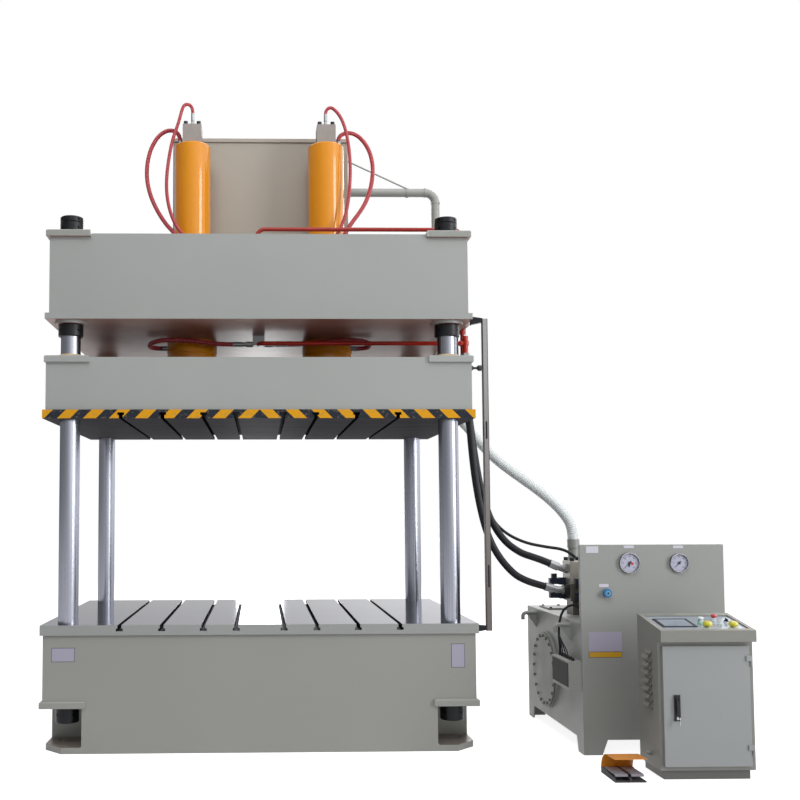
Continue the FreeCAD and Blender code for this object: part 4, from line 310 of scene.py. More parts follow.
def make_soft_edge():
    """Rounded-over normal at every edge, and a mask of the rubbed edges themselves."""
    tree, given, result = group("soft_edge", [("Radius", "Float", 0.003), ("Rubbed", "Float", 0.3)],
                                [("Normal", "Vector"), ("Mask", "Float")])
    rounded = add(tree, "ShaderNodeBevel", {"Radius": given["Radius"]}, samples=4).outputs["Normal"]
    flat = add(tree, "ShaderNodeNewGeometry").outputs["Normal"]
    agree = add(tree, "ShaderNodeVectorMath", {0: rounded, 1: flat}, operation="DOT_PRODUCT").outputs["Value"]
    edge = between(tree, agree, 0.97, 0.8)
    chips = between(tree, noise(tree, on_object(tree), 55.0, 6.0), 0.48, 0.62)
    tree.links.new(rounded, result["Normal"])
    tree.links.new(times(tree, times(tree, edge, chips), given["Rubbed"]), result["Mask"])
    return tree


def make_grinding():
    """Fine parallel marks of a ground or turned surface, drawn out along the small axis of Stretch."""
    tree, given, result = group("grinding", [("Stretch", "Vector", (1.0, 1.0, 1.0)), ("Depth", "Float", 0.5)],
                                [("Shade", "Float"), ("Height", "Float")])
    place = vector_worked(tree, "MULTIPLY", {0: on_object(tree), 1: given["Stretch"]})
    fine = noise(tree, place, 1.0, 5.0, 0.65)
    broad = noise(tree, place, 0.12, 3.0, 0.6)
    shade = between(tree, plus(tree, times(tree, fine, 0.6), times(tree, broad, 0.4)), 0.3, 0.7)
    tree.links.new(times(tree, shade, given["Depth"]), result["Shade"])
    tree.links.new(fine, result["Height"])
    return tree


def make_inside_box():
    """One inside a box between two corners, and nought outside it."""
    tree, given, result = group("inside_box", [("Low", "Vector", (0, 0, 0)), ("High", "Vector", (1, 1, 1))],
                                [("Mask", "Float")])
    place, low, high = coordinates(tree), coordinates(tree, given["Low"]), coordinates(tree, given["High"])
    across, along, upright = (within(tree, place[n], low[n], high[n]) for n in range(3))
    tree.links.new(times(tree, times(tree, across, along), upright), result["Mask"])
    return tree


sprayed_coat = make_sprayed_coat()
soft_edge = make_soft_edge()
grinding = make_grinding()
inside_box = make_inside_box()


# ---------------------------------------------------------------- finishes
def material(name, colour=(0.5, 0.5, 0.5, 1), roughness=0.5, metallic=0.0, **sockets):
    """Plain finish; other sockets of the shader are named with underscores for blanks."""
    made = bpy.data.materials.new(name)
    made.use_nodes = True
    shader = made.node_tree.nodes["Principled BSDF"]
    shader.inputs["Base Color"].default_value = colour
    shader.inputs["Roughness"].default_value = roughness
    shader.inputs["Metallic"].default_value = metallic
    for socket, value in sockets.items():
        shader.inputs[socket.replace("_", " ")].default_value = value
    return made


def parts_of(made):
    return made.node_tree, made.node_tree.nodes["Principled BSDF"].inputs


def bumped(tree, height, strength, distance=0.0004, normal=None):
    inputs = {"Height": height, "Strength": strength, "Distance": distance}
    if normal is not None:
        inputs["Normal"] = normal
    return add(tree, "ShaderNodeBump", inputs).outputs["Normal"]


def painted(name, colour, gloss=0.38, clouding=0.05, peel=0.12, peel_scale=260.0, dust_and_top_light=0.2, rubbed=0.25,
            edge=0.003, **sockets):
    """Sprayed paint on steel, with softened and slightly rubbed edges."""
    made = material(name, colour, gloss, **sockets)
    tree, shader = parts_of(made)
    coat = placed(tree, sprayed_coat, {"Colour": colour, "Clouding": clouding, "Peel Scale": peel_scale,
                                       "Gloss": gloss, "Dust And Top Light": dust_and_top_light})
    edges = placed(tree, soft_edge, {"Radius": edge, "Rubbed": rubbed})
    pale = tuple(min(1.0, c * 1.35) for c in colour[:3]) + (1.0,)
    tree.links.new(mixed(tree, edges["Mask"], coat["Colour"], pale), shader["Base Color"])
    tree.links.new(coat["Roughness"], shader["Roughness"])
    tree.links.new(bumped(tree, coat["Height"], peel, normal=edges["Normal"]), shader["Normal"])
    return made


def ground(name, colour, roughness=0.3, stretch=(2.0, 900.0, 900.0), depth=0.5, edge=0.001, metallic=1.0,
           relief=0.08, **sockets):
    """Bare metal with grinding or turning marks."""
    made = material(name, colour, roughness, metallic, **sockets)
    tree, shader = parts_of(made)
    marks = placed(tree, grinding, {"Stretch": stretch, "Depth": depth})
    edges = placed(tree, soft_edge, {"Radius": edge, "Rubbed": 0.4})
    dark = tuple(c * 0.62 for c in colour[:3]) + (1.0,)
    tree.links.new(mixed(tree, marks["Shade"], colour, dark), shader["Base Color"])
    uneven = between(tree, marks["Shade"], 0.0, 1.0, roughness * 0.8, roughness * 1.5)
    tree.links.new(uneven, shader["Roughness"])
    tree.links.new(bumped(tree, marks["Height"], relief, 0.0002, edges["Normal"]), shader["Normal"])
    return made


def moulded(name, colour, roughness=0.35, grain=0.05, **sockets):
    """Moulded plastic or rubber with a faint grain."""
    made = material(name, colour, roughness, **sockets)
    tree, shader = parts_of(made)
    speckle = noise(tree, on_object(tree), 900.0, 2.0)
    edges = placed(tree, soft_edge, {"Radius": 0.0008, "Rubbed": 0.0})
    tree.links.new(between(tree, speckle, 0.3, 0.7, roughness * 0.9, roughness * 1.1), shader["Roughness"])
    tree.links.new(bumped(tree, speckle, grain, 0.0003, edges["Normal"]), shader["Normal"])
    return made


grey_paint = seen(164, 167, 165)
warm_paint = seen(155, 157, 154)


def over(tree, shader, mask, colour):
    """Lays a colour over what already feeds Base Color where the mask is one."""
    under = shader["Base Color"].links[0].from_socket
    tree.links.new(mixed(tree, mask, under, colour), shader["Base Color"])


def roughened(tree, shader, mask, roughness):
    """Changes what already feeds Roughness where the mask is one."""
    under = shader["Roughness"].links[0].from_socket
    tree.links.new(between(tree, mask, 0.0, 1.0, under, roughness), shader["Roughness"])


def edged(made, mask, paint):
    """Lays paint over a bare metal finish where the mask is one."""
    tree, shader = parts_of(made)
    coat = placed(tree, sprayed_coat, {"Colour": paint, "Clouding": 0.05, "Peel Scale": 260.0, "Gloss": 0.4,
                                       "Dust And Top Light": 0.0})
    over(tree, shader, mask, coat["Colour"])
    roughened(tree, shader, mask, coat["Roughness"])
    tree.links.new(between(tree, mask, 0.0, 1.0, shader["Metallic"].default_value, 0.0), shader["Metallic"])
    return made


def rim_of(tree, name):
    """One on the four upright sides of a plate's box, nought inside it."""
    low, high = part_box(name)
    inner = placed(tree, inside_box, {"Low": (low.x + skin, low.y + skin, low.z - 1),
                                      "High": (high.x - skin, high.y - skin, high.z + 1)})["Mask"]
    return minus(tree, 1.0, inner)


def oily_slots(made, name, face_up):
    """Painted shade: darkens what lies deeper than the working face of a slotted plate, its top or its
    underside.
    """
    tree, shader = parts_of(made)
    low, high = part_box(name)
    height = coordinates(tree)["Z"]
    if face_up:
        deep = below(tree, height, high.z - slot_shadow)
    else:
        deep = above(tree, height, low.z + slot_shadow)
    over(tree, shader, deep, seen(34, 34, 38))
    roughened(tree, shader, deep, 0.6)


def table_finish():
    """Bolster: ground and oiled on top, with painted shade in its slots, painted on its four edges."""
    made = ground("table_finish", seen(126, 127, 134), 0.1, (2.0, 140.0, 140.0), 0.9, metallic=0.8,
                  relief=0.05, Specular_Tint=(0.6, 0.6, 0.64, 1))
    oily_slots(made, "bolster_plate", True)
    return edged(made, rim_of(made.node_tree, "bolster_plate"), grey_paint)


def slide_plate_finish():
    """Slotted plate: bare below, with painted shade in its slots, painted edges, warning stripes along the
    front edge.
    """
    # Its bare steel is darker than the bolster's: painted shade on the underside.
    made = ground("slide_plate_finish", seen(104, 103, 106), 0.55, (3.0, 200.0, 200.0), 0.8,
                  Specular_Tint=(0.16, 0.16, 0.17, 1))
    oily_slots(made, "slide_plate", False)
    tree = made.node_tree
    low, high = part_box("slide_plate")
    place = coordinates(tree)
    along = plus(tree, worked(tree, "ABSOLUTE", place["X"]), minus(tree, place["Z"], low.z))
    shift = stripe_pitch / 2 - (high.z - low.z)
    phase = worked(tree, "FRACT", divided(tree, plus(tree, along, shift), stripe_pitch))
    stripes = mixed(tree, above(tree, phase, 0.5), seen(46, 50, 58), seen(232, 166, 36))
    scuffs = between(tree, noise(tree, on_object(tree), 40.0, 6.0), 0.56, 0.72, 0.0, 0.55)
    stripes = mixed(tree, scuffs, stripes, seen(150, 138, 116))
    front = below(tree, place["Y"], low.y + skin)
    return edged(made, rim_of(tree, "slide_plate"), mixed(tree, front, grey_paint, stripes))


def wiper_finish():
    """Guide bush: turned bronze, with the cream wiper ring that stands on the slide."""
    made = ground("wiper_finish", seen(190, 160, 104), 0.3, (60.0, 60.0, 900.0), 0.4)
    ring = above(made.node_tree, coordinates(made.node_tree)["Z"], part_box("guide_bushes")[1].z - wiper_height)
    return edged(made, ring, seen(214, 190, 146))


def terminal_finish():
    """Grey box with a black cover on its outer face and black cable glands on top."""
    made = painted("terminal_finish", warm_paint)
    tree, shader = parts_of(made)
    low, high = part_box("terminal_box")
    place = coordinates(tree)
    cover = below(tree, place["X"], low.x + terminal_cover)
    glands = above(tree, place["Z"], high.z - terminal_gland_height)
    black = worked(tree, "MAXIMUM", cover, glands)
    over(tree, shader, black, seen(30, 30, 32))
    roughened(tree, shader, black, 0.62)
    return made


def crown_finish():
    """Crown paint: darker corner plates, and a painted brown reflection and shade where it faces down."""
    made = painted("crown_finish", grey_paint)
    tree, shader = parts_of(made)
    down = below(tree, facing_up(tree), -0.9)
    blotch = between(tree, noise(tree, on_object(tree), 1.6, 5.0), 0.35, 0.65)
    place = coordinates(tree)
    corner = times(tree, above(tree, worked(tree, "ABSOLUTE", place["X"]), corner_plate_start),
                   above(tree, place["Z"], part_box("crown_weldment")[1].z - corner_plate_thickness))
    over(tree, shader, corner, seen(151, 153, 148))
    # Painted reflection and shade: blotched brown on the faces that look down.
    over(tree, shader, down, mixed(tree, blotch, seen(166, 126, 116), seen(126, 76, 62)))
    roughened(tree, shader, down, 0.4)
    return made


def bed_finish():
    """Bed paint, browned with oil on top of the floor plates."""
    # Its grey is a little darker than the crown's: painted shade on the lower part of the frame.
    made = painted("bed_finish", seen(158, 159, 154))
    tree, shader = parts_of(made)
    low = below(tree, coordinates(tree)["Z"], foot_plate_top)
    trodden = times(tree, above(tree, facing_up(tree), 0.9), low)
    over(tree, shader, trodden, seen(131, 120, 113))
    return made


def fitting_finish():
    """Zinc hose ends, blackened where the lower one screws into the valve block."""
    made = ground("fitting_finish", seen(156, 158, 160), 0.44, (60.0, 60.0, 60.0), 0.4, metallic=0.7)
    tree, shader = parts_of(made)
    low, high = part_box("solenoid_valves")
    screwed = placed(tree, inside_box, {"Low": (high.x - screwed_ends, low.y, low.z - 0.02),
                                        "High": (high.x + 0.05, high.y + 0.1, high.z - 0.02)})
    over(tree, shader, screwed["Mask"], seen(60, 58, 60))
    return made


def switch_bar_finish():
    """Drawn channel: lighter above and browner lower down, with painted shade and reflection darkening its
    rounded edges.
    """
    made = ground("switch_bar_finish", seen(148, 150, 150), 0.42, (300.0, 300.0, 3.0), 0.5, metallic=0.6)
    tree, shader = parts_of(made)
    low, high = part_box("switch_bar")
    place = coordinates(tree)
    over(tree, shader, between(tree, place["Z"], *browned_levels, 0.0, 0.85), seen(92, 84, 80))
    off_middle = worked(tree, "ABSOLUTE", minus(tree, place["X"], (low.x + high.x) / 2))
    # Dark bands along both edges of the face: painted shade and reflection.
    over(tree, shader, between(tree, off_middle, *bar_edge), seen(72, 62, 66))
    return made


def slide_finish():
    """Slide paint, with the blackened striker that runs past the travel switches."""
    made = painted("slide_finish", seen(168, 171, 169))
    tree, shader = parts_of(made)
    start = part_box("slide_weldment")[1].x - striker_reach
    striker = placed(tree, inside_box, {"Low": (start, -1.0, striker_levels[0]),
                                        "High": (9, -0.9, striker_levels[1])})["Mask"]
    over(tree, shader, striker, seen(40, 40, 44))
    return made


def cabinet_finish():
    """Textured paint, darker on the plinth; its heavy dust setting is painted light on its upward faces."""
    made = painted("cabinet_finish", seen(136, 136, 131), gloss=0.45, peel=0.35, peel_scale=700.0,
                   dust_and_top_light=0.8, edge=0.002)
    tree, shader = parts_of(made)
    over(tree, shader, below(tree, coordinates(tree)["Z"], plinth_top), seen(92, 92, 89))
    return made


def lock_finish():
    """Black lock plate with the bright barrel that the key goes in."""
    made = moulded("lock_finish", seen(32, 32, 38), 0.42, Specular_IOR_Level=0.3)
    tree, shader = parts_of(made)
    barrel = below(tree, coordinates(tree)["Y"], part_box("door_lock_base")[0].y + barrel_stand)
    tree.links.new(mixed(tree, barrel, seen(32, 32, 38), seen(210, 210, 214)), shader["Base Color"])
    tree.links.new(barrel, shader["Metallic"])
    return made


def desk_panel_finish():
    """Brushed pale panel with white collars and a pale green lamp."""
    made = ground("desk_panel_finish", seen(184, 194, 206), 0.3, (4.0, 300.0, 300.0), 0.15, metallic=0.35)
    tree, shader = parts_of(made)
    place = coordinates(tree)
    up = times(tree, minus(tree, place["Z"], desk_edge[1]), math.cos(desk_slope))
    back = times(tree, minus(tree, place["Y"], desk_edge[0]), math.sin(desk_slope))
    raised = above(tree, minus(tree, up, back), desk_sunk + skin)
    over(tree, shader, raised, seen(226, 226, 224))
    tree.links.new(times(tree, minus(tree, 1.0, raised), 0.35), shader["Metallic"])
    over(tree, shader, times(tree, raised, below(tree, place["X"], lamp_right)), seen(136, 186, 170))
    return made


def dial_finish():
    """Chromed case with a shadowed inner wall; the sunk dial is pale lilac with a thin dark circle."""
    made = ground("gauge_finish", seen(176, 176, 184), 0.16, (40.0, 40.0, 40.0), 0.2, 0.0006)
    tree, shader = parts_of(made)
    place = coordinates(tree)
    depth = minus(tree, place["Y"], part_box("gauge_cases")[0].y)
    shares = []
    for across, up, radius in dials.values():
        squares = (worked(tree, "POWER", minus(tree, place[axis], middle), 2.0)
                   for axis, middle in (("X", across), ("Z", up)))
        shares.append(divided(tree, worked(tree, "SQRT", plus(tree, *squares)), radius))
    ring = worked(tree, "MINIMUM", *shares)
    inside = times(tree, within(tree, depth, 0.001, dial_depth + skin), below(tree, ring, 1.12))
    over(tree, shader, inside, seen(70, 70, 78))
    dial = times(tree, within(tree, depth, dial_depth - skin, dial_depth + skin), below(tree, ring, 1.0))
    over(tree, shader, dial, seen(190, 192, 212))
    over(tree, shader, times(tree, dial, within(tree, ring, 0.945, 0.965)), seen(70, 72, 84))
    tree.links.new(minus(tree, 1.0, inside), shader["Metallic"])
    return made


def pipe_finish():
    """Red paint, darker on the upper pipe and brighter lower down."""
    made = painted("pressure_pipe_finish", seen(154, 36, 26), gloss=0.3, dust_and_top_light=0.0, Coat_Weight=0.25,
                   Coat_Roughness=0.1, Specular_IOR_Level=0.2)
    tree, shader = parts_of(made)
    over(tree, shader, between(tree, coordinates(tree)["Z"], *upper_pipes), seen(192, 48, 36))
    return made


def screw_finish():
    """Blackened screws; those round the side cover of the tank are painted over."""
    made = ground("screw_finish", seen(40, 41, 48), 0.44, (200.0, 200.0, 400.0), 0.3, 0.0015, 0.3,
                  Specular_IOR_Level=0.3)
    tree, shader = parts_of(made)
    low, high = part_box("tank_covers")
    cover = placed(tree, inside_box, {"Low": (low.x - 0.05, low.y - 0.05, 0),
                                      "High": (low.x + 0.03, high.y, 0.7)})
    over(tree, shader, cover["Mask"], seen(118, 120, 118))
    return made


def stack_finish():
    """Valve blocks: bare and pale at the top block, darker with oil below it."""
    made = ground("valve_stack_finish", seen(168, 163, 154), 0.45, (40.0, 40.0, 40.0), 0.3, metallic=0.4)
    tree, shader = parts_of(made)
    low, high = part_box("valve_stack")
    split = high.z - top_block_share * (high.z - low.z)
    over(tree, shader, between(tree, coordinates(tree)["Z"], split + 0.002, split - 0.002), seen(100, 95, 88))
    return made


def hose_wall_finish():
    """Milky wall of the return hose with its faint mesh of cords."""
    made = material("return_hose_finish", seen(240, 244, 245), 0.36)
    tree, shader = parts_of(made)
    mesh = between(tree, noise(tree, on_object(tree), 160.0, 3.0, 0.7), 0.42, 0.6)
    tree.links.new(mixed(tree, mesh, seen(242, 246, 247), seen(214, 221, 222)), shader["Base Color"])
    return made


finishes = {
    "station_paint": painted("station_paint_finish", warm_paint, gloss=0.4),
    "console_paint": painted("console_paint_finish", seen(156, 159, 160), gloss=0.45, peel=0.35,
                             peel_scale=700.0, edge=0.002),
    # Deep vertical streaks on the columns: grinding marks, and in part painted reflection streaks.
    "chrome_rod": ground("chrome_column_finish", seen(158, 161, 172), 0.2, (150.0, 150.0, 0.7), 0.9,
                         relief=0.0, Specular_Tint=(0.5, 0.5, 0.54, 1)),
    "black_steel": ground("black_nut_finish", seen(21, 22, 26), 0.44, (200.0, 200.0, 400.0), 0.3, 0.0015, 0.3,
                          Specular_IOR_Level=0.3),
    "orange_paint": painted("cylinder_finish", seen(228, 146, 16), gloss=0.2, clouding=0.02, peel=0.03,
                            dust_and_top_light=0.0, Coat_Weight=0.7, Coat_Roughness=0.06, Specular_IOR_Level=0.1),
    "hood_paint": painted("hood_finish", seen(244, 156, 50), gloss=0.3, dust_and_top_light=0.1, edge=0.001, Coat_Weight=0.3,
                          Coat_Roughness=0.15),
    "bronze": wiper_finish(),
    "black_rubber": moulded("rubber_finish", seen(26, 27, 32), 0.52, Specular_IOR_Level=0.25),
    "black_plastic": moulded("black_plastic_finish", seen(32, 32, 38), 0.42, Specular_IOR_Level=0.3),
    "blue_plastic": moulded("blue_knob_finish", seen(38, 118, 172), 0.25, Coat_Weight=0.3,
                            Coat_Roughness=0.1),
    "red_plastic": moulded("red_button_finish", seen(196, 44, 52), 0.25, Coat_Weight=0.5,
                           Coat_Roughness=0.08),
    "yellow_plastic": moulded("yellow_button_finish", seen(214, 204, 50), 0.3, Coat_Weight=0.4,
                              Coat_Roughness=0.1),
    "white_plastic": moulded("white_button_finish", seen(232, 236, 244), 0.3),
    "green_plastic": moulded("green_button_finish", seen(132, 196, 160), 0.3),
    "chrome_trim": ground("chrome_trim_finish", seen(206, 206, 210), 0.12, (40.0, 40.0, 40.0), 0.2, 0.0006),
    "cast_grey": painted("casting_finish", seen(112, 116, 118), gloss=0.5, peel=0.6, peel_scale=400.0),
    "grey_plastic": moulded("grey_plastic_finish", seen(124, 122, 124), 0.45),
}
special = {
    "bolster_plate": table_finish(),
    "slide_plate": slide_plate_finish(),
    "slide_weldment": slide_finish(),
    "crown_weldment": crown_finish(),
    # Header tank: the station paint tinted warm, as painted reflection.
    "header_tank": painted("header_tank_finish", seen(160, 153, 142), gloss=0.4),
    "terminal_box": terminal_finish(),
    "switch_bar": switch_bar_finish(),
    "valve_blocks": ground("valve_block_finish", seen(136, 129, 125), 0.5, (90.0, 90.0, 90.0), 0.4,
                           metallic=0.3),
    "valve_stack": stack_finish(),
    "bed_weldment": bed_finish(),
    # Tank covers: the station paint darkened, as painted shade.
    "tank_covers": painted("tank_cover_finish", seen(116, 118, 114), gloss=0.4),
    "hose_fittings": fitting_finish(),
    "pressure_pipes": pipe_finish(),
    "cap_screws": screw_finish(),
    "solenoid_valves": moulded("coil_finish", seen(38, 44, 60), 0.4, Specular_IOR_Level=0.35),
    "console_cabinet": cabinet_finish(),
    "console_panel": desk_panel_finish(),
    "door_lock_base": lock_finish(),
    "gauge_cases": dial_finish(),
    "foot_base": painted("foot_base_finish", seen(64, 63, 66), gloss=0.6, Specular_IOR_Level=0.25),
    "pedal_left": painted("pedal_finish", seen(140, 138, 150), gloss=0.5),
}
special["pedal_right"] = special["pedal_left"]
for name, node in nodes.items():
    chosen = special.get(name) or finishes.get(node.data.materials[0].name)
    if chosen is not None:
        node.data.materials[0] = chosen


# ---------------------------------------------------------------- objects and meshes
def put(name, data):
    """New object in the scene."""
    made = bpy.data.objects.new(name, data)
    bpy.context.scene.collection.objects.link(made)
    return made


def mesh_of(name, corners, faces, finish=None):
    mesh = bpy.data.meshes.new(name)
    mesh.from_pydata(corners, [], faces)
    if finish is not None:
        mesh.materials.append(finish)
    return mesh


def piece(name, corners, faces, finish, body="press_frame"):
    """Piece of the scene that rides on a body, its place in its mesh."""
    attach(put(name, mesh_of(name, corners, faces, finish)), body)


def evaluated_mesh(made):
    """Plain mesh of an object with its modifiers or its curve worked out."""
    return bpy.data.meshes.new_from_object(made.evaluated_get(bpy.context.evaluated_depsgraph_get()))


# ---------------------------------------------------------------- hoses
def route_curve(name, points):
    """NURBS curve whose control points are the route."""
    data = bpy.data.curves.new(name, "CURVE")
    data.dimensions = "3D"
    data.resolution_u = 12
    spline = data.splines.new("NURBS")
    spline.points.add(len(points) - 1)
    for control, place in zip(spline.points, points):
        control.co = (*place, 1)
    spline.order_u = 3
    spline.use_endpoint_u = True
    return put(name, data)


def hose_curve(name, points, radius, finish, rounding):
    """Curve along a route, thick as the hose; its bare line as a mesh; its length."""
    curve = route_curve(name, points)
    line = evaluated_mesh(curve)
    places = [v.co.copy() for v in line.vertices]
    length = sum((b - a).length for a, b in zip(places, places[1:]))
    curve.data.bevel_depth = radius
    curve.data.bevel_resolution = rounding
    curve.data.use_fill_caps = True
    curve.data.materials.append(finish)
    return curve, line, length


def geometry_tree(name, takes):
    """Geometry Nodes tree with named inputs, each (name, kind, value)."""
    tree = bpy.data.node_groups.new(name, "GeometryNodeTree")
    tree.interface.new_socket("Geometry", in_out="INPUT", socket_type="NodeSocketGeometry")
    tree.interface.new_socket("Geometry", in_out="OUTPUT", socket_type="NodeSocketGeometry")
    for label, kind, value in takes:
        socket = tree.interface.new_socket(label, in_out="INPUT", socket_type="NodeSocket" + kind)
        if value is not None:
            socket.default_value = value
    return tree, tree.nodes.new("NodeGroupInput").outputs, tree.nodes.new("NodeGroupOutput").inputs


def ended(tree, geometry, finish, result):
    """Ends a tree: instances made real, then the finish."""
    real = add(tree, "GeometryNodeRealizeInstances", {"Geometry": geometry}).outputs[0]
    dressed = add(tree, "GeometryNodeSetMaterial", {"Geometry": real, "Material": finish}).outputs[0]
    tree.links.new(dressed, result["Geometry"])


def grown(name, mesh, tree, **values):
    """Plain mesh object that a tree makes from a mesh; inputs are named with underscores for blanks."""
    start = put(name, mesh)
    modifier = start.modifiers.new(name, "NODES")
    modifier.node_group = tree
    sockets = {item.name: item.identifier for item in tree.interface.items_tree
               if item.item_type == "SOCKET" and item.in_out == "INPUT"}
    for label, value in values.items():
        modifier[sockets[label.replace("_", " ")]] = value
    result = evaluated_mesh(start)
    start.modifiers.clear()
    start.data = result
    return start


def line_curve(tree, given, steps):
    """The given line as a curve with so many points to each pitch, its length, and the run along it."""
    curve = add(tree, "GeometryNodeMeshToCurve", {"Mesh": given["Geometry"]}).outputs["Curve"]
    length = add(tree, "GeometryNodeCurveLength", {"Curve": curve}).outputs["Length"]
    count = times(tree, divided(tree, length, given["Pitch"]), steps)
    curve = add(tree, "GeometryNodeResampleCurve", {"Curve": curve, "Count": count}, mode="COUNT").outputs[0]
    return curve, length, add(tree, "GeometryNodeSplineParameter").outputs["Length"]


def turn_along(tree, given, run):
    """Angle that goes once round over each pitch."""
    return times(tree, divided(tree, run, given["Pitch"]), math.tau)


def make_guard_tree():
    """Strip wound round a line at a steady pitch."""
    tree, given, result = geometry_tree("spiral_guard", [
        ("Inner Radius", "Float", 0.012), ("Outer Radius", "Float", 0.0135), ("Pitch", "Float", 0.011),
        ("Strip Width", "Float", 0.008), ("Steps", "Int", 12), ("Finish", "Material", None)])
    curve, _, run = line_curve(tree, given, given["Steps"])
    heading = add(tree, "GeometryNodeInputTangent").outputs[0]
    across = add(tree, "GeometryNodeInputNormal").outputs[0]
    turn = {"Vector": across, "Axis": heading, "Angle": turn_along(tree, given, run)}
    outward = add(tree, "ShaderNodeVectorRotate", turn, rotation_type="AXIS_ANGLE").outputs[0]
    middle = times(tree, plus(tree, given["Inner Radius"], given["Outer Radius"]), 0.5)
    offset = vector_worked(tree, "SCALE", {0: outward, "Scale": middle})
    kept = add(tree, "GeometryNodeCaptureAttribute", {"Geometry": curve}, domain="POINT")
    kept.capture_items.new("VECTOR", "Outward")
    tree.links.new(outward, kept.inputs["Outward"])
    moved = {"Geometry": kept.outputs["Geometry"], "Offset": offset}
    moved = add(tree, "GeometryNodeSetPosition", moved).outputs[0]
    aimed = {"Curve": moved, "Normal": kept.outputs["Outward"]}
    aimed = add(tree, "GeometryNodeSetCurveNormal", aimed, mode="FREE").outputs[0]
    thickness = minus(tree, given["Outer Radius"], given["Inner Radius"])
    section = {"Width": thickness, "Height": given["Strip Width"]}
    strip = add(tree, "GeometryNodeCurvePrimitiveQuadrilateral", section, mode="RECTANGLE").outputs[0]
    wound = add(tree, "GeometryNodeCurveToMesh", {"Curve": aimed, "Profile Curve": strip, "Fill Caps": True})
    ended(tree, wound.outputs[0], given["Finish"], result)
    return tree


def make_rib_tree():
    """Ribbed hose wall: a tube whose radius swells at a steady pitch between two plain cuffs."""
    tree, given, result = geometry_tree("hose_ribs", [
        ("Root", "Float", 0.038), ("Crest", "Float", 0.042), ("Pitch", "Float", 0.018),
        ("Cuff", "Float", 0.08), ("Sides", "Int", 28), ("Finish", "Material", None)])
    curve, length, run = line_curve(tree, given, 8.0)
    wave = between(tree, worked(tree, "COSINE", turn_along(tree, given, run)), -0.6, 0.6)
    near = worked(tree, "MINIMUM", run, minus(tree, length, run))
    swell = worked(tree, "MAXIMUM", wave, below(tree, near, given["Cuff"]))
    radius = between(tree, swell, 0.0, 1.0, given["Root"], given["Crest"])
    curve = add(tree, "GeometryNodeSetCurveRadius", {"Curve": curve, "Radius": radius}).outputs[0]
    circle = {"Resolution": given["Sides"], "Radius": 1.0}
    ring = add(tree, "GeometryNodeCurvePrimitiveCircle", circle).outputs[0]
    wall = add(tree, "GeometryNodeCurveToMesh", {"Curve": curve, "Profile Curve": ring, "Fill Caps": True})
    if "Scale" in wall.inputs:
        tree.links.new(radius, wall.inputs["Scale"])
    smooth = add(tree, "GeometryNodeSetShadeSmooth", {"Geometry": wall.outputs[0]}).outputs[0]
    ended(tree, smooth, given["Finish"], result)
    return tree


guard_tree = make_guard_tree()
rib_tree = make_rib_tree()
guard_core_finish = moulded("guard_core_finish", seen(44, 8, 14), 0.6, Specular_IOR_Level=0.2)
guard_finish = moulded("guard_strip_finish", seen(212, 78, 88), 0.3, Specular_IOR_Level=0.5)
white_hose_finish = hose_wall_finish()


def laid_hose(name, points, radius, finish, wrap=None):
    """Hose along a route, standing for the node of the same name."""
    curve, line, length = hose_curve(name + "_curve", points, radius, finish, 5)
    pieces = []
    if wrap is not None:
        pieces.append(wrap(name, line))
        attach(pieces[0], "press_frame")
    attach(curve, "press_frame")
    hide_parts(name)


def loose_cable(name, points, radius):
    """Thin cable from a gland up to the side of the thick one."""
    curve, _, length = hose_curve(name, points, radius, finishes["black_rubber"], 3)
    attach(curve, "press_frame")


def guard_on(name, line):
    outer = red_routes[name][0]
    return grown(name + "_guard", line.copy(), guard_tree, Inner_Radius=outer - guard_thickness - guard_gap,
                 Outer_Radius=outer, Pitch=guard_pitch, Strip_Width=guard_strip_width, Steps=12,
                 Finish=guard_finish)


def ribs_on(name, line):
    return grown(name + "_ribs", line.copy(), rib_tree, Root=return_hose_root, Crest=return_hose_crest,
                 Pitch=return_hose_pitch, Cuff=return_hose_cuff, Sides=28, Finish=white_hose_finish)


for name, (outer, points) in red_routes.items():
    laid_hose(name, points, outer - guard_thickness, guard_core_finish, guard_on)
for name, (radius, points) in black_routes.items():
    laid_hose(name, points, radius, finishes["black_rubber"])
for number, gland_y in enumerate(gland_places):
    lean = gland_y - gland_cables_meet
    points = ((gland_x, gland_y, gland_top), (gland_x, gland_y, 0.703), (2.263, gland_y - lean * 0.25, 0.730),
              (2.2645, gland_y - lean * 0.6, 0.762), (2.265, gland_y - lean * 0.9, 0.787 + 0.006 * number),
              (2.2665, gland_cables_meet - 0.0015, 0.797 + 0.007 * number))
    loose_cable("gland_cable_%d" % (number + 1), points, gland_cable_radius)
laid_hose("return_hose", return_route, return_hose_root - 0.001, white_hose_finish, ribs_on)


# ---------------------------------------------------------------- plates, dials and screen
box_faces = ((0, 1, 3, 2), (4, 6, 7, 5), (0, 4, 5, 1), (2, 3, 7, 6), (0, 2, 6, 4), (1, 5, 7, 3))


def block(name, low, high, finish):
    """Flat block between two corners."""
    corners = [(x, y, z) for x in (low[0], high[0]) for y in (low[1], high[1]) for z in (low[2], high[2])]
    piece(name, corners, box_faces, finish)


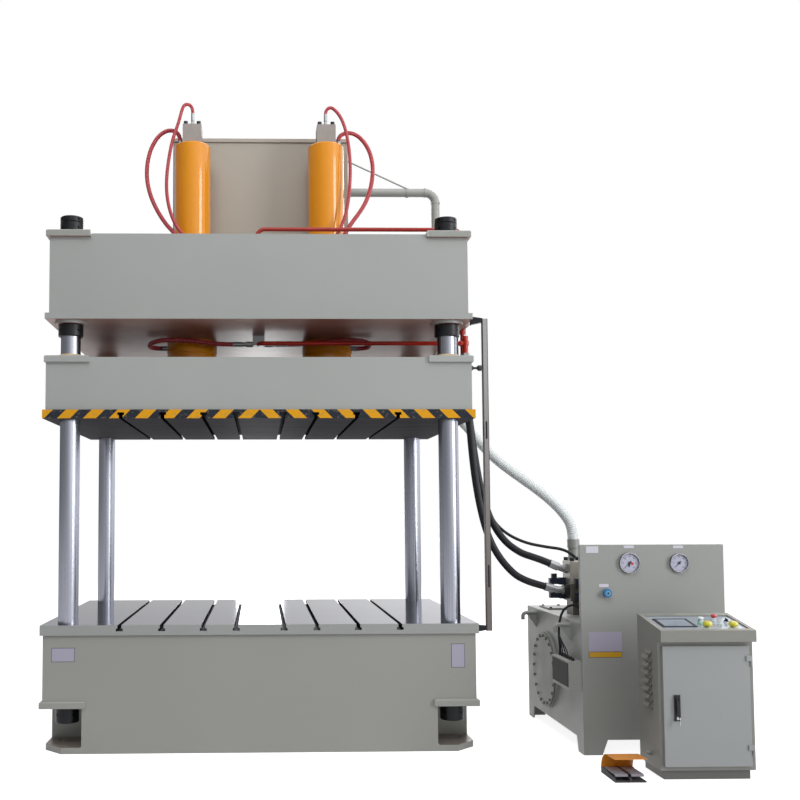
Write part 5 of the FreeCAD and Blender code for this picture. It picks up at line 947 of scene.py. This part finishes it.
def turned(name, profile, middle, across, axis, finish, body="press_frame", steps=40):
    """Closed (radius, height) profile spun about an axis through its middle; across is square to the axis."""
    other = axis.cross(across)
    corners = []
    rings = []
    for radius, height in profile:
        if radius == 0:
            rings.append([len(corners)] * steps)
            corners.append(middle + axis * height)
            continue
        rings.append([len(corners) + n for n in range(steps)])
        for n in range(steps):
            turn = math.tau * n / steps
            outward = across * math.cos(turn) + other * math.sin(turn)
            corners.append(middle + axis * height + outward * radius)
    faces = []
    for one, two in zip(rings, rings[1:] + rings[:1]):
        for n in range(steps):
            face = []
            for corner in (one[n - 1], one[n], two[n], two[n - 1]):
                if corner not in face:
                    face.append(corner)
            if len(face) > 2:
                faces.append(face)
    piece(name, corners, faces, finish, body)


def desk_point(across, up, out):
    """Place on the sloping desk: across, up the slope from its front edge, out of the slope."""
    sine, cosine = math.sin(desk_slope), math.cos(desk_slope)
    return Vector((across, desk_edge[0] + up * cosine - out * sine, desk_edge[1] + up * sine + out * cosine))


rightward = Vector((1, 0, 0))
frontward = Vector((0, -1, 0))
desk_out = desk_point(0, 0, 1) - desk_point(0, 0, 0)
plate_finish = moulded("blank_plate_finish", seen(214, 212, 224), 0.3)
lilac_finish = moulded("sign_plate_finish", seen(172, 168, 188), 0.3)
band_finish = moulded("sign_band_finish", seen(206, 158, 34), 0.3)
border_finish = moulded("plate_border_finish", seen(96, 92, 104), 0.35)
ivory_finish = moulded("legend_ring_finish", seen(222, 222, 214), 0.35)
marking_finish = moulded("marking_finish", seen(36, 38, 48), 0.5)
red_hand_finish = moulded("red_hand_finish", seen(206, 48, 60), 0.35)
glass_finish = moulded("screen_glass_finish", seen(160, 172, 188), 0.12, Coat_Weight=0.6, Coat_Roughness=0.03)

panel_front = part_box("station_tank")[0].y
panel_labels = {
    "station_label_top": (2.355, 2.445, 1.439, 1.487),
    "gauge_label_left": (2.630, 2.705, 1.473, 1.492),
    "gauge_label_right": (2.991, 3.064, 1.471, 1.491),
    "knob_label": (2.445, 2.514, 1.194, 1.216),
}
panel_out = panel_front - plate_thickness
for name, (left, right, bottom, top) in panel_labels.items():
    block(name, (left, panel_out, bottom), (right, panel_front, top), plate_finish)
block("sign_plate", (2.361, panel_out, 0.734), (2.601, panel_front, 0.873), lilac_finish)
block("sign_band_edge", (2.361, panel_out, 0.690), (2.601, panel_front, 0.732), border_finish)
block("sign_band", (2.364, panel_out - 0.0004, 0.693), (2.598, panel_out, 0.729), band_finish)

bed_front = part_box("bed_weldment")[0].y + bed_front_behind_feet
for name, (left, right, bottom, top) in {"bed_plate_left": (-1.517, -1.347, 0.659, 0.761),
                                         "bed_plate_right": (1.398, 1.498, 0.602, 0.776)}.items():
    edge_out = bed_front - border_thickness
    block(name + "_edge", (left, edge_out, bottom), (right, bed_front, top), border_finish)
    block(name, (left + plate_border, bed_front - bed_plate_thickness, bottom + plate_border),
          (right - plate_border, edge_out, top - plate_border), lilac_finish)

# Pale display lying in the recess of the touch screen
piece("screen_glass",
      [desk_point(x, s, h) for x in (2.666, 2.858) for s in (0.115, 0.264) for h in screen_levels],
      box_faces, glass_finish)
for name, (across, up) in {"left_palm_legend": (2.939, 0.096), "right_palm_legend": (3.107, 0.088)}.items():
    turned(name, [(0.0172, 0), (0.0172, 0.0012), (0.0355, 0.0012), (0.0360, 0.0007), (0.0360, 0)],
           desk_point(across, up, desk_sunk), rightward, desk_out, ivory_finish)

knob_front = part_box("relief_knob")[0].y
for name, profile, finish in (
        ("knob_ring", [(0, 0), (0, 0.0008), (0.016, 0.0008), (0.016, 0)],
         moulded("knob_ring_finish", seen(110, 186, 224), 0.25)),
        ("knob_screw", [(0, 0.0008), (0, 0.0022), (0.0085, 0.0022), (0.0095, 0.0008)], marking_finish)):
    turned(name, profile, Vector((2.499, knob_front, 1.152)), rightward, frontward, finish, "relief_knob")


# ---------------------------------------------------------------- dials
def make_tick_tree():
    """Short bars standing round a dial, evenly spread over its sweep."""
    tree, given, result = geometry_tree("dial_ticks", [
        ("Centre", "Vector", (0, 0, 0)), ("Count", "Int", 7), ("Radius", "Float", 0.05),
        ("Length", "Float", 0.008), ("Width", "Float", 0.002), ("Sweep", "Float", 4.7),
        ("Finish", "Material", None)])
    step = divided(tree, given["Sweep"], minus(tree, given["Count"], 1.0))
    index = add(tree, "GeometryNodeInputIndex").outputs[0]
    angle = minus(tree, times(tree, index, step), times(tree, given["Sweep"], 0.5))
    across = times(tree, worked(tree, "SINE", angle), given["Radius"])
    up = times(tree, worked(tree, "COSINE", angle), given["Radius"])
    place = add(tree, "ShaderNodeCombineXYZ", {"X": across, "Z": up}).outputs[0]
    place = vector_worked(tree, "ADD", {0: place, 1: given["Centre"]})
    dots = add(tree, "GeometryNodePoints", {"Count": given["Count"], "Position": place}).outputs[0]
    size = {"X": given["Width"], "Y": marking_thickness, "Z": given["Length"]}
    size = add(tree, "ShaderNodeCombineXYZ", size).outputs[0]
    bar = add(tree, "GeometryNodeMeshCube", {"Size": size}).outputs[0]
    turn = add(tree, "ShaderNodeCombineXYZ", {"Y": angle}).outputs[0]
    bars = add(tree, "GeometryNodeInstanceOnPoints", {"Points": dots, "Instance": bar, "Rotation": turn})
    ended(tree, bars.outputs[0], given["Finish"], result)
    return tree


tick_tree = make_tick_tree()


def dial_ticks(name, centre, count, radius, length, width):
    made = grown(name, bpy.data.meshes.new(name), tick_tree, Centre=centre, Count=count, Radius=radius,
                 Length=length, Width=width, Sweep=dial_sweep, Finish=marking_finish)
    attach(made, "press_frame")


def dial_numbers(name, centre, radius, size, numbers):
    """Numbers round a dial as one flat mesh facing the front."""
    corners = []
    faces = []
    for place, number in enumerate(numbers):
        angle = dial_sweep * (place / (len(numbers) - 1) - 0.5)
        letters = bpy.data.curves.new(name, "FONT")
        letters.body = str(number)
        letters.size = size
        letters.align_x = "CENTER"
        letters.align_y = "CENTER"
        holder = put(name, letters)
        flat = evaluated_mesh(holder)
        bpy.data.objects.remove(holder)
        first = len(corners)
        corners += [(centre[0] + math.sin(angle) * radius + v.co.x, centre[1],
                     centre[2] + math.cos(angle) * radius + v.co.y) for v in flat.vertices]
        faces += [[first + corner for corner in face.vertices] for face in flat.polygons]
    piece(name, corners, faces, marking_finish)


def short_hand(name, centre, reach, width, angle, finish):
    """Flat setting hand under the pointer, clear of the pointer's pin."""
    half, shoulder = width / 2, reach * 0.75
    outline = [(0.010, -half), (shoulder, -half), (reach, 0), (shoulder, half), (0.010, half)]
    corners = []
    for depth in (0, -0.0006):
        for along, side in outline:
            corners.append((centre[0] + along * math.cos(angle) - side * math.sin(angle), centre[1] + depth,
                            centre[2] + along * math.sin(angle) + side * math.cos(angle)))
    count = len(outline)
    faces = [list(range(count))[::-1], [count + n for n in range(count)]]
    faces += [[n, (n + 1) % count, count + (n + 1) % count, count + n] for n in range(count)]
    piece(name, corners, faces, finish)


dial_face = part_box("gauge_cases")[0].y + dial_depth
for side, (across, up, radius) in dials.items():
    centre = (across, dial_face - 0.0002, up)
    dial_ticks(side + "_dial_long_ticks", centre, 7, radius * 0.88, radius * 0.14, 0.0018)
    dial_ticks(side + "_dial_short_ticks", centre, 31, radius * 0.91, radius * 0.08, 0.0009)
    dial_numbers(side + "_dial_numbers", (across, dial_face - 0.0003, up), radius * 0.68, radius * 0.2,
                 (0, 10, 20, 30, 40, 50, 60))
    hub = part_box("gauge_needle_" + side)[0].y
    turned(side + "_needle_hub", [(0, 0), (0, 0.0010), (0.0085, 0.0010), (0.0100, 0.0004), (0.0100, 0)],
           Vector((across, hub, up)), rightward, frontward, marking_finish, side + "_needle")
left_dial = (dials["left"][0], dial_face - 0.0008, dials["left"][1])
short_hand("left_dial_red_hand", left_dial, 0.034, 0.017, math.radians(-14), red_hand_finish)
short_hand("left_dial_black_hand", left_dial, 0.032, 0.012, math.radians(-98), marking_finish)

bar_low, bar_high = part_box("switch_bar")
for name, (bottom, top) in {"travel_switch_low": (1.17, 1.355), "travel_switch_high": (2.272, 2.426)}.items():
    block(name, (bar_low.x + 0.007, bar_low.y + 0.005, bottom), (bar_high.x - 0.007, bar_high.y - 0.006, top),
          finishes["black_plastic"])


# ---------------------------------------------------------------- louvres
def make_louvre_tree():
    """Hoods one under the other at a steady pitch."""
    tree, given, result = geometry_tree("louvre_row", [
        ("Count", "Int", 3), ("Pitch", "Float", 0.05), ("Finish", "Material", None)])
    down = add(tree, "ShaderNodeCombineXYZ", {"Z": times(tree, given["Pitch"], -1.0)}).outputs[0]
    places = add(tree, "GeometryNodeMeshLine", {"Count": given["Count"], "Offset": down}).outputs[0]
    hoods = add(tree, "GeometryNodeInstanceOnPoints", {"Points": places, "Instance": given["Geometry"]})
    ended(tree, hoods.outputs[0], given["Finish"], result)
    return tree


def louvre_hood(face, out):
    """Inclined hood on the cabinet's side, leaning out by out at its lower edge."""
    outline = [(face, 0), (face + out, -louvre_height), (face + out * 0.82, -louvre_height), (face, -0.005)]
    corners = [(x, y, louvre_top + z) for y in louvre_ends for x, z in outline]
    faces = [(3, 2, 1, 0), (4, 5, 6, 7)] + [(n, (n + 1) % 4, 4 + (n + 1) % 4, 4 + n) for n in range(4)]
    return mesh_of("louvre_hood", corners, faces if out < 0 else [face[::-1] for face in faces])


louvre_tree = make_louvre_tree()
cabinet_low, cabinet_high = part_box("console_cabinet")
for side, face, out in (("left", cabinet_low.x + louvre_out, -louvre_out),
                        ("right", cabinet_high.x - louvre_out, louvre_out)):
    row = grown("louvres_" + side, louvre_hood(face, out), louvre_tree, Count=louvre_count,
                Pitch=louvre_pitch, Finish=special["console_cabinet"])
    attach(row, "press_frame")


# ---------------------------------------------------------------- floor, light and camera
def floor():
    """Pale floor, lifted to plain white for the camera and in reflections, so far that its shadow clips too."""
    pale = bpy.data.materials.new("floor_finish")
    pale.use_nodes = True
    tree = pale.node_tree
    tree.nodes.clear()
    ray = add(tree, "ShaderNodeLightPath").outputs
    direct = worked(tree, "MAXIMUM", ray["Is Camera Ray"],
                    worked(tree, "MAXIMUM", ray["Is Glossy Ray"], ray["Is Transmission Ray"]))
    matt = add(tree, "ShaderNodeBsdfDiffuse", {"Color": (0.6, 0.6, 0.6, 1), "Roughness": 0.0}).outputs[0]
    lift = {"Color": (1, 1, 1, 1), "Strength": times(tree, direct, floor_lift)}
    lift = add(tree, "ShaderNodeEmission", lift).outputs[0]
    surface = add(tree, "ShaderNodeAddShader", {0: matt, 1: lift}).outputs[0]
    add(tree, "ShaderNodeOutputMaterial", {"Surface": surface})
    corners = [(x * floor_reach, y * floor_reach, 0) for x, y in ((-1, -1), (1, -1), (1, 1), (-1, 1))]
    put("floor", mesh_of("floor", corners, [(0, 1, 2, 3)], pale))


def lamp(name, place, aim, size, power):
    data = bpy.data.lights.new(name, "AREA")
    data.shape = "RECTANGLE"
    data.size, data.size_y = size
    data.energy = power
    made = put(name, data)
    made.location = place
    made.rotation_euler = (Vector(aim) - Vector(place)).to_track_quat("-Z", "Y").to_euler()
    made.visible_camera = False


def surroundings():
    """Even light from all round; the camera sees white, and reflections a pale room, lighter to the right."""
    world = bpy.data.worlds.new("surroundings")
    bpy.context.scene.world = world
    world.use_nodes = True
    tree = world.node_tree
    tree.nodes.clear()
    ray = add(tree, "ShaderNodeLightPath").outputs
    seen_directly = worked(tree, "MAXIMUM", ray["Is Camera Ray"], ray["Is Transmission Ray"])
    heading = add(tree, "ShaderNodeTexCoord").outputs["Generated"]
    sideways = coordinates(tree, heading)["X"]
    left, right = between(tree, sideways, -0.7, 0.0, 0.4, 0.9), between(tree, sideways, 0.0, 0.6, 0.0, 1.3)
    mirrored = plus(tree, left, right)
    strength = between(tree, seen_directly, 0.0, 1.0, 0.25, 1.0)
    strength = between(tree, ray["Is Glossy Ray"], 0.0, 1.0, strength, mirrored)
    background = add(tree, "ShaderNodeBackground", {"Color": (1, 1, 1, 1), "Strength": strength}).outputs[0]
    add(tree, "ShaderNodeOutputWorld", {"Surface": background})


def camera():
    data = bpy.data.cameras.new("camera")
    data.sensor_width = 36.0
    data.lens = camera_lens
    data.shift_x, data.shift_y = camera_shift
    data.clip_end = 200.0
    reach = math.cos(camera_pitch)
    forward = Vector((math.sin(camera_yaw) * reach, math.cos(camera_yaw) * reach, math.sin(camera_pitch)))
    level = Vector((math.cos(camera_yaw), -math.sin(camera_yaw), 0))
    upright = level.cross(forward)
    right = level * math.cos(camera_roll) + upright * math.sin(camera_roll)
    up = upright * math.cos(camera_roll) - level * math.sin(camera_roll)
    made = put("camera", data)
    made.matrix_world = Matrix.Translation(camera_place) @ Matrix((right, up, -forward)).transposed().to_4x4()
    bpy.context.scene.camera = made


floor()
surroundings()
lamp("sky_lamp", (0.5, -2.0, 9.5), (0.5, 0, 2), (9.0, 7.0), 270)
lamp("side_lamp", (15.2, -10.6, 6.2), (0, 0, 3), (5.0, 10.0), 1540)
lamp("front_lamp", (-1.0, -9.5, 11.5), (0.4, 0, 2.6), (6.0, 4.0), 400)
lamp("back_lamp", (2.5, 14.0, 8.0), (0, 0, 2.5), (6.0, 4.0), 620)
lamp("window_lamp", (0, 12.0, 1.52), (0, 0, 1.0), (0.93, 1.6), 45)
camera()
bpy.context.scene.view_settings.view_transform = "Standard"
